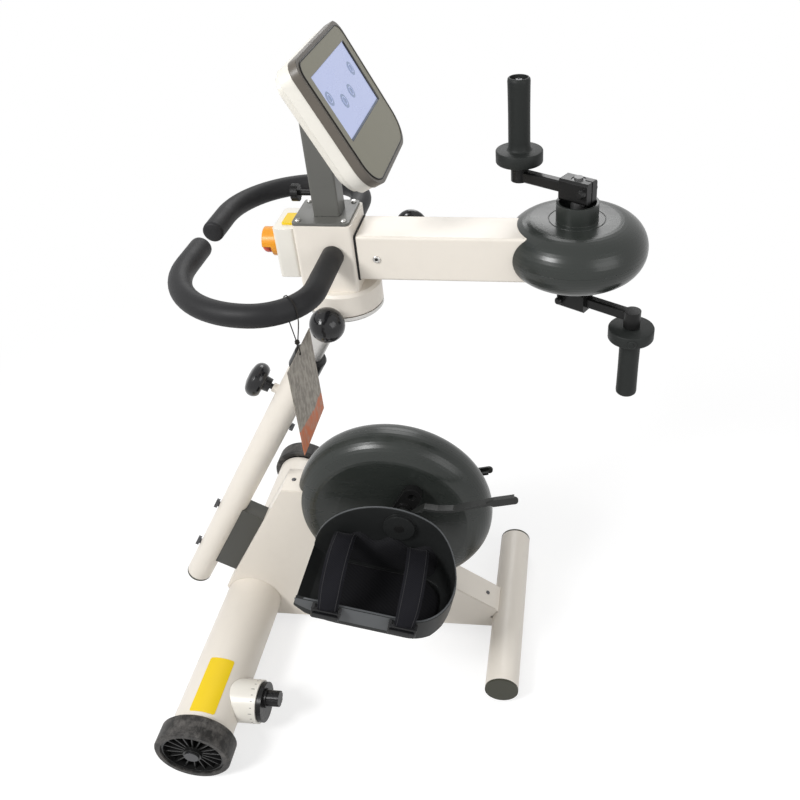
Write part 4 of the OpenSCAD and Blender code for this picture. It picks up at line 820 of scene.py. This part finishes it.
@dataclass
class FootTray:
    """The soft and small parts of one foot tray."""

    side: str
    tilt: float = 14.0
    width: float = 136.0 * MM
    depth: float = 121.0 * MM
    toe: float = 142.0 * MM
    heel_u: float = 50.0 * MM
    wall: float = 4.0 * MM
    rim_w: float = -78.0 * MM
    arch_u: float = -8.0 * MM
    arch_w: float = -96.0 * MM
    arch_r: float = 132.0 * MM
    strap_places: Sequence[float] = (-85.0 * MM, 43.0 * MM)
    strap_width: float = 38.0 * MM

    def place(self) -> Matrix:
        """The tray's own frame: X to the heel, Y inwards, Z up, on the pedal's axis."""
        joint = next(j for j in frame["joints"] if j["name"] == f"{self.side}_pedal_spin")
        x, _, z = joint["pos_m"]
        wall_y = side_of(self.side) * 0.100
        turn = Matrix.Rotation(math.radians(self.tilt), 4, "Y")
        flip = Matrix.Scale(-1.0, 4, (0, 1, 0)) if self.side == "far" else Matrix.Identity(4)
        return Matrix.Translation((x, wall_y, z)) @ flip @ turn

    def arch(self, u: float) -> float:
        """The height of the arched top edge."""
        return self.arch_w + math.sqrt(max(0.0, self.arch_r ** 2 - (u - self.arch_u) ** 2))

    def slope(self, v: float) -> float:
        """The height of the walls' top where they turn round the heel."""
        stops = ((0.001, 0.060), (-0.008, 0.060), (-0.030, -0.005), (-self.width / 2, 69 * MM - self.depth),
                 (-self.width - MM, self.rim_w))
        for (v0, w0), (v1, w1) in zip(stops, stops[1:]):
            if v >= v1:
                return w0 + (w1 - w0) * (v - v0) / (v1 - v0)
        return stops[-1][1]

    def rim(self) -> None:
        """Makes the painted highlight on the top edge: a pale grey tube from the toe round the heel to the near rim."""
        half = self.width / 2
        line = [(-self.toe + 3 * MM + u, -self.wall / 2) for u in [0.19 * i / 26 for i in range(26)]]
        line += [(self.heel_u + y, x - half) for x, y in arc((0, 0), half - self.wall / 2, 0, 180, 22)]
        line += [(self.heel_u - 0.19 * i / 12, -self.width + self.wall / 2) for i in range(1, 13)]
        place = self.place()
        path = [place @ Vector((u, v, min(self.arch(u), self.slope(v)) + 0.2 * MM)) for u, v in line]
        Shape().tube(path, 1.5 * MM, 8).piece(f"{self.side}_tray_rim", Finish.PAINTED_RIM_HIGHLIGHT, f"{self.side}_pedal", 60.0)

    def paint_lit_wall(self) -> None:
        """Makes the painted light on the outer wall: a smooth grey band, paler than the tray plastic, along the outer
        rim and the toe's top edge.
        """
        # Painted light: this sheet makes the lit outer wall paler than the rest of the tray.
        place = self.place() @ Matrix.Translation((0, -self.width - 0.15 * MM, 0))
        outline = [(-self.toe + 22 * MM, -99 * MM), (-self.toe + 4 * MM, -92 * MM), (-self.toe + 2 * MM, self.rim_w),
                   (self.heel_u, self.rim_w), (self.heel_u, -112 * MM), (-self.toe + 70 * MM, -112 * MM)]
        loops = [[place @ Vector((u, y, w)) for u, w in outline] for y in (-0.35 * MM, 0.1 * MM)]
        Shape().skin(loops).piece(f"{self.side}_tray_band", Finish.PAINTED_LIT_TRAY, f"{self.side}_pedal")

    def liner(self) -> None:
        """Makes the soft pad on the sole and the pad that leans on the inner wall."""
        place = self.place()
        sole = [(u, v) for u, v in rounded_outline(0.205, 0.112, 20 * MM, 50 * MM, 10)]
        shape = Shape()
        levels = [(-0.1172, 0.97), (-0.1150, 1.0), (-0.1110, 0.985), (-0.1095, 0.93)]
        shape.skin([[place @ Vector((u * k - 4 * MM, v * k - self.width / 2, w + 0.02 * MM)) for u, v in sole]
                    for w, k in levels])
        rows = []
        for i in range(19):
            u = -0.082 + 0.160 * i / 18
            top = -0.048 + 0.010 * math.sin(i * 0.9) + 0.012 * math.sin(math.pi * i / 18)
            thick = (7.0 + 3.0 * math.sin(math.pi * i / 18)) * MM
            bulge = [(0.5, -0.106), (0.9, -0.085), (1.0, -0.066), (0.7, -0.052)]
            near = [place @ Vector((u, -self.wall - 0.6 * MM - thick * k, w + (top + 0.048) * (k > 0.6)))
                    for k, w in bulge]
            back = [place @ Vector((u, -self.wall - 0.5 * MM, w)) for w in (top, -0.106)]
            rows.append(near + back)
        shape.skin(rows)
        pad = shape.piece(f"{self.side}_tray_pad", Finish.LINER, f"{self.side}_pedal", 80.0)

    def strap_line(self) -> list[tuple[float, float]]:
        """The strap's middle line across the foot, from the inner wall over the outer rim."""
        inner = [(-7, -62), (-8, -50), (-14, -41), (-26, -36), (-44, -33), (-66, -31), (-88, -33), (-108, -39),
                 (-124, -48), (-136, -60), (-143, -74), (-144.5, -90), (-143.5, -102)]
        return [(v * MM, w * MM) for v, w in inner]

    def straps(self) -> None:
        """Makes the two loose straps, with stitched edge lines, and their buckles."""
        place, seed = self.place(), 3.0 if self.side == "near" else 5.0
        web, lines, buckle = Shape(), Shape(), Shape()
        for number, middle in enumerate(self.strap_places):
            path = smooth_line(self.strap_line(), 44)
            rows, edges = [], {-1: [], 1: []}
            for i, (v, w) in enumerate(path):
                before, after = path[max(0, i - 1)], path[min(len(path) - 1, i + 1)]
                dv, dw = after[0] - before[0], after[1] - before[1]
                size = math.hypot(dv, dw)
                nv, nw = dw / size, -dv / size
                sway = 3.0 * MM * math.sin(i * 0.11 + number * 1.7 + seed)
                pinch = 1.0 - 0.12 * math.exp(-((i - 36) / 4.0) ** 2)
                top, low = [], []
                for k in range(9):
                    s = k / 4.0 - 1.0
                    u = middle + sway + s * self.strap_width / 2 * pinch
                    lift = (1.3 * math.sin(i * 0.33 + s * 2.1 + seed) + 1.6 * (1 - s * s)) * MM
                    thick = (1.3 if abs(s) > 0.99 else 2.6) * MM
                    top.append(Vector((u, v + nv * (lift + thick), w + nw * (lift + thick))))
                    low.append(Vector((u, v + nv * lift, w + nw * lift)))
                    if k in (1, 7):
                        edges[-1 if k == 1 else 1].append(
                            place @ Vector((u, v + nv * (lift + thick + 0.1 * MM), w + nw * (lift + thick + 0.1 * MM))))
                rows.append([place @ p for p in top + low[::-1]])
            web.skin(rows)
            for edge in edges.values():
                lines.tube(edge[2:-2], 0.55 * MM, 6)
            self.buckle(buckle, place, middle)
        body = f"{self.side}_pedal"
        made = web.piece(f"{self.side}_straps", Finish.STRAP_WEB, body, 70.0)
        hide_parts(f"{self.side}_tray_straps")
        lines.piece(f"{self.side}_strap_lines", Finish.STRAP_LINE, body, 80.0)
        buckle.piece(f"{self.side}_buckles", Finish.BUCKLE, body, 35.0)

    def buckle(self, shape: Shape, place: Matrix, middle: float) -> None:
        """Adds one ladder buckle: a frame with three bars round the strap's hanging end."""
        half = self.strap_width / 2 + 5 * MM
        front, back = -self.width - 14.5 * MM, -self.width - 1.0 * MM
        for u in (middle - half, middle + half - 5 * MM):
            shape.brick((u, front, -0.098), (u + 5 * MM, back, -0.078), place)
        for w, deep in ((-0.098, 4.5), (-0.089, 3.0), (-0.082, 4.5)):
            shape.brick((middle - half + 3 * MM, front, w), (middle + half - 3 * MM, front + deep * MM, w + 4 * MM), place)
        shape.brick((middle - half + 2 * MM, front - 2.5 * MM, -0.096), (middle + half - 2 * MM, front + 1 * MM, -0.085),
                    place)

    def build(self) -> None:
        """Makes all of them."""
        self.liner()
        self.rim()
        self.paint_lit_wall()
        self.straps()


def smooth_line(stops: Sequence[tuple[float, float]], count: int) -> list[tuple[float, float]]:
    """Evenly counted points on a smooth curve through the stops."""
    points = []
    last = len(stops) - 1
    for i in range(count):
        place = i / (count - 1) * last
        k = min(int(place), last - 1)
        t = place - k
        a, b, c, d = (stops[min(max(j, 0), last)] for j in (k - 1, k, k + 1, k + 2))
        points.append(tuple(0.5 * (2 * b[n] + (c[n] - a[n]) * t + (2 * a[n] - 5 * b[n] + 4 * c[n] - d[n]) * t * t
                                   + (3 * b[n] - a[n] - 3 * c[n] + d[n]) * t ** 3) for n in (0, 1)))
    return points


@dataclass
class Console:
    """The console's display, its frame and the sealing line round the panel."""

    lean: float = 28.2
    face: tuple[float, float] = (183.0 * MM, 212.0 * MM)
    screen_low: float = -64.5 * MM
    screen: tuple[float, float] = (89.0 * MM, 168.0 * MM)
    icons: Sequence[tuple[float, float]] = ((-33, 52), (-15, 7), (-14, -31), (-31, -70))
    icon_radius: float = 9.5 * MM

    def place(self) -> Matrix:
        """The face's own frame: X down the face, Y across, Z out of it."""
        turn = Matrix.Rotation(math.radians(90 - self.lean), 4, "Y")
        out = turn @ Vector((0, 0, 1))
        return Matrix.Translation(middle_of("console_panel") + out.to_3d() * 0.7 * MM) @ turn

    def seal(self, place: Matrix) -> None:
        """Makes the dark line between the bezel and the panel."""
        inset = 6.0 * MM
        outline = rounded_outline(self.face[0] - 2 * inset, self.face[1] - 2 * inset, 17 * MM, 36 * MM, 14)
        path = [place @ Vector((x, y, 0.25 * MM)) for x, y in outline]
        Shape().tube(clean(path), 1.1 * MM, 8, True).piece("panel_seal", Finish.SEAL, "console", 80.0)

    def display(self, place: Matrix) -> None:
        """Makes the lit display, its black side, its lower edge and the soft icons."""
        low, (long, wide) = self.screen_low, self.screen
        edge = 1.0 * MM
        middle = low + long / 2
        lit = [(middle + x, y) for x, y in rounded_outline(long - edge, wide - edge, 1.0 * MM, 1.0 * MM, 3)]
        Shape().slab(lit, -0.5 * MM, 0.15 * MM, place).piece("display", Finish.DISPLAY, "console")
        side = Shape().brick((low + 0.6 * MM, wide / 2 - 7 * MM, 0), (low + long - 0.6 * MM, wide / 2 - 0.6 * MM, 1.0 * MM),
                             place, 0.3 * MM)
        side.piece("display_side", Finish.SEAL, "console")
        foot = Shape().brick((low + long - 3.2 * MM, 0.6 * MM - wide / 2, 0), (low + long - 0.6 * MM, wide / 2 - 7 * MM, 0.9 * MM),
                             place, 0.3 * MM)
        foot.piece("display_foot", Finish.DISPLAY_EDGE, "console")
        dots = Shape()
        for x, y in self.icons:
            at = place @ Matrix.Translation((x * MM, y * MM, 0.15 * MM))
            dots.revolve([(self.icon_radius, 0.0), (self.icon_radius, 0.12 * MM), (0.2 * MM, 0.2 * MM)], at, 40)
        dots.piece("display_icons", Finish.ICON, "console")
        rings = Shape()
        for x, y in self.icons:
            ring = [place @ Vector((x * MM + 5.2 * MM * math.cos(a), y * MM + 5.2 * MM * math.sin(a), 0.3 * MM))
                    for a in turns(32)]
            rings.tube(ring, 0.7 * MM, 6, True)
        rings.piece("display_rings", Finish.DISPLAY, "console", 80.0)

    def build(self) -> None:
        """Makes all of it."""
        place = self.place()
        self.seal(place)
        self.display(place)


def clean(path: Sequence[Vector]) -> list[Vector]:
    """A ring's points without repeats."""
    return [p for i, p in enumerate(path) if (p - path[i - 1]).length > 1e-5]


@dataclass
class Stand:
    """The small dressings of the stand."""

    tube_radius: float = 53.5 * MM
    label_y: tuple[float, float] = (-327.0 * MM, -218.0 * MM)
    label_angles: tuple[float, float] = (55.0, 103.0)
    ticks: int = 17

    def label(self) -> None:
        """Makes the bare yellow sticker on the front tube."""
        axle_x, _, level = middle_of("front_tube")
        steps = 14
        loops = []
        corner = 3.0 * MM
        low, high = self.label_y
        stations = [(low, 0.05), (low + corner, 0.0), (high - corner, 0.0), (high, 0.05)]
        for y, cut in stations:
            spread = self.label_angles[1] - self.label_angles[0]
            first, last = self.label_angles[0] + spread * cut, self.label_angles[1] - spread * cut
            angles = [math.radians(first + (last - first) * i / steps) for i in range(steps + 1)]
            outer = [Vector((math.cos(a), 0, math.sin(a))) * (self.tube_radius + 0.35 * MM) for a in angles]
            under = [Vector((math.cos(a), 0, math.sin(a))) * (self.tube_radius + 0.05 * MM) for a in angles[::-1]]
            loops.append([p + Vector((axle_x, y, level)) for p in outer + under])
        Shape().skin(loops).piece("tube_sticker", Finish.STICKER, "base", 30.0)

    def dial_marks(self) -> None:
        """Makes the short marks round the white dial's rim."""
        low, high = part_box("dial_housing")
        radius = (high[1] - low[1]) / 2
        middle = Vector((high[0], (low[1] + high[1]) / 2, (low[2] + high[2]) / 2))
        shape = Shape()
        for i in range(self.ticks):
            angle = math.radians(-135 + 270 * i / (self.ticks - 1))
            place = Matrix.Translation(middle) @ Matrix.Rotation(angle, 4, "X") @ Matrix.Translation((0, 0, radius))
            long = 6.0 * MM if i % 4 == 0 else 3.5 * MM
            shape.brick((-6 * MM - long, -0.45 * MM, -0.2 * MM), (-6 * MM, 0.45 * MM, 0.15 * MM), place, 0.05 * MM)
        shape.piece("dial_marks", Finish.INK, "base")

    def build(self) -> None:
        """Makes all of it."""
        self.label()
        self.dial_marks()


@dataclass
class Head:
    """The yellow plate on the switch box and the screw in the beam's side."""

    plate: tuple[float, float] = (20.0 * MM, 34.0 * MM)
    screw_radius: float = 5.4 * MM
    screw_from_seam: float = 27.6 * MM

    def beam_screw(self) -> None:
        """Makes the bright cap of the beam's screw, with a dark hexagon as painted shade in its socket."""
        seam_end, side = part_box("beam_seam")[1][0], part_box("beam_tube")[0][1]
        place = (Matrix.Translation((seam_end + self.screw_from_seam, side, middle_of("beam_seam")[2]))
                 @ Matrix.Rotation(math.pi / 2, 4, "X"))
        r = self.screw_radius
        cap = [(r, -1.9 * MM), (r, -0.2 * MM), (r - 0.8 * MM, 0.5 * MM), (0.5 * r, 0.5 * MM), (0.5 * r, 0.1 * MM),
               (0.1 * MM, 0.1 * MM)]
        Shape().revolve(cap, place, 40).piece("beam_screw_cap", Finish.BRIGHT_STEEL, "arm_beam", 30.0)
        # Painted shade: a flat black hexagon stands in for the shade inside the shallow socket.
        hexagon = [(0.48 * r * math.cos(a), 0.48 * r * math.sin(a)) for a in turns(6)]
        Shape().slab(hexagon, 0.05 * MM, 0.2 * MM, place).piece("beam_screw_socket_shade", Finish.SEAL, "arm_beam")

    def build(self) -> None:
        """Makes the plate and the screw."""
        self.beam_screw()
        low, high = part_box("switch_box")
        place = Matrix.Translation((high[0] - self.plate[0] / 2 - 1.5 * MM, -4 * MM, high[2]))
        outline = rounded_outline(self.plate[0], self.plate[1], 2 * MM, 2 * MM, 4)
        Shape().slab(outline, 0.0, 3.0 * MM, place).piece("box_plate", Finish.YELLOW_CAP, "head")


@dataclass
class Studio:
    """Floor, lights and camera round the machine."""

    focal_mm: float = 38.16
    shift: tuple[float, float] = (-0.1038, 0.0072)
    stand: Point = (0.615285, -1.107560, 1.406808)
    right: Point = (0.99464, 0.09845, -0.03174)
    down: Point = (0.03489, -0.60821, -0.79306)
    forward: Point = (-0.09745, 0.78763, -0.60839)
    floor_half: float = 6.0
    near_ring: float = 0.75
    far_ring: float = 1.7

    def from_axle(self, place: Point) -> Vector:
        """A place given from the floor below the front wheels' axle, in the row's frame."""
        return Vector(place) + Vector((middle_of("front_tube")[0], 0, 0))

    def camera(self) -> None:
        """Sets the camera where the photograph was taken."""
        data = bpy.data.cameras.new("camera")
        data.lens = self.focal_mm
        data.sensor_width = 36.0
        data.shift_x, data.shift_y = self.shift
        data.clip_start = 0.05
        camera = bpy.data.objects.new("camera", data)
        right, up, back = Vector(self.right), -Vector(self.down), -Vector(self.forward)
        turn = Matrix((right, up, back)).transposed().to_4x4()
        camera.matrix_world = Matrix.Translation(self.from_axle(self.stand)) @ turn
        bpy.context.scene.collection.objects.link(camera)
        bpy.context.scene.camera = camera

    def lamp(self, name: str, place: Point, aim: Point, size: float, power: float) -> None:
        """Adds one square soft box.

        Args:
            name: The lamp's name.
            place: Where it hangs.
            aim: What it points at.
            size: The side of the box.
            power: Its power in watts.
        """
        data = bpy.data.lights.new(name, "AREA")
        data.size = size
        data.energy = power
        lamp = bpy.data.objects.new(name, data)
        direction = Vector(aim) - Vector(place)
        lamp.matrix_world = Matrix.Translation(self.from_axle(place)) @ direction.to_track_quat("-Z", "Y").to_matrix().to_4x4()
        bpy.context.scene.collection.objects.link(lamp)

    def white_seen(self, g: Graph) -> None:
        """Makes a floor that turns white away from the machine, but keeps its soft shadow."""
        path = g.node("ShaderNodeLightPath", output="Is Camera Ray")
        glossy = Channel(g, path.socket.node.outputs["Is Glossy Ray"])
        clear = Channel(g, path.socket.node.outputs["Is Transmission Ray"])
        seen = path.at_least(glossy).at_least(clear)
        away = g.node("ShaderNodeVectorMath", {"operation": "LENGTH"}, {0: g.place()}, "Value")
        far = g.node("ShaderNodeMapRange", {"interpolation_type": "SMOOTHSTEP"},
                     {"Value": away, "From Min": self.near_ring, "From Max": self.far_ring})
        lit = g.blend(seen, (0.62, 0.62, 0.62), g.blend(far, (0.40, 0.40, 0.40), (0.0, 0.0, 0.0)))
        glow = g.blend(seen, (0.0, 0.0, 0.0), g.blend(far, (0.68, 0.68, 0.68), (1.0, 1.0, 1.0)))
        g.set(Base_Color=lit, Emission_Color=glow, Emission_Strength=1.0, Roughness=1.0,
              Specular_IOR_Level=0.0)

    def floor(self) -> None:
        """Adds the plain pale floor."""
        mesh = bpy.data.meshes.new("floor")
        h = self.floor_half
        mesh.from_pydata([(-h, -h, 0), (h, -h, 0), (h, h, 0), (-h, h, 0)], [], [(0, 1, 2, 3)])
        floor = bpy.data.objects.new("floor", mesh)
        g = Graph("floor_finish")
        self.white_seen(g)
        mesh.materials.append(g.material)
        bpy.context.scene.collection.objects.link(floor)

    def world(self) -> None:
        """Sets an even pale world that looks white behind the machine."""
        world = bpy.data.worlds.new("studio")
        world.use_nodes = True
        bpy.context.scene.world = world
        tree = world.node_tree
        shine = tree.nodes["Background"]
        path = tree.nodes.new("ShaderNodeLightPath")
        seen = tree.nodes.new("ShaderNodeMath")
        seen.operation = "MAXIMUM"
        tree.links.new(path.outputs["Is Camera Ray"], seen.inputs[0])
        tree.links.new(path.outputs["Is Glossy Ray"], seen.inputs[1])
        clear = tree.nodes.new("ShaderNodeMath")
        clear.operation = "MAXIMUM"
        tree.links.new(seen.outputs[0], clear.inputs[0])
        tree.links.new(path.outputs["Is Transmission Ray"], clear.inputs[1])
        level = tree.nodes.new("ShaderNodeMapRange")
        level.inputs["To Min"].default_value = 0.42
        level.inputs["To Max"].default_value = 1.0
        tree.links.new(clear.outputs[0], level.inputs["Value"])
        tree.links.new(level.outputs["Result"], shine.inputs["Strength"])
        shine.inputs["Color"].default_value = (1.0, 1.0, 1.0, 1.0)

    def build(self) -> None:
        """Adds the floor, the world and the lamps."""
        self.floor()
        self.world()
        middle = (0.3, 0.0, 0.55)
        self.lamp("key", (-1.2, -1.7, 2.6), middle, 0.9, 66.0)
        self.lamp("fill", (2.2, -1.4, 1.6), middle, 1.4, 14.0)
        self.lamp("back", (0.2, 2.2, 2.4), middle, 1.4, 24.0)
        bpy.context.scene.view_settings.view_transform = "Standard"


def main() -> None:
    """Builds the scene in order."""
    logging.basicConfig(level=logging.INFO)
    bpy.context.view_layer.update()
    studio = Studio()
    studio.camera()
    handlebar = Handlebar()
    handlebar.string()
    handlebar.sleeves()
    HandGrips().build()
    for side in ("near", "far"):
        FootTray(side).build()
    Console().build()
    Stand().build()
    Head().build()
    dress_nodes()
    studio.build()


if __name__ == "__main__":
    main()
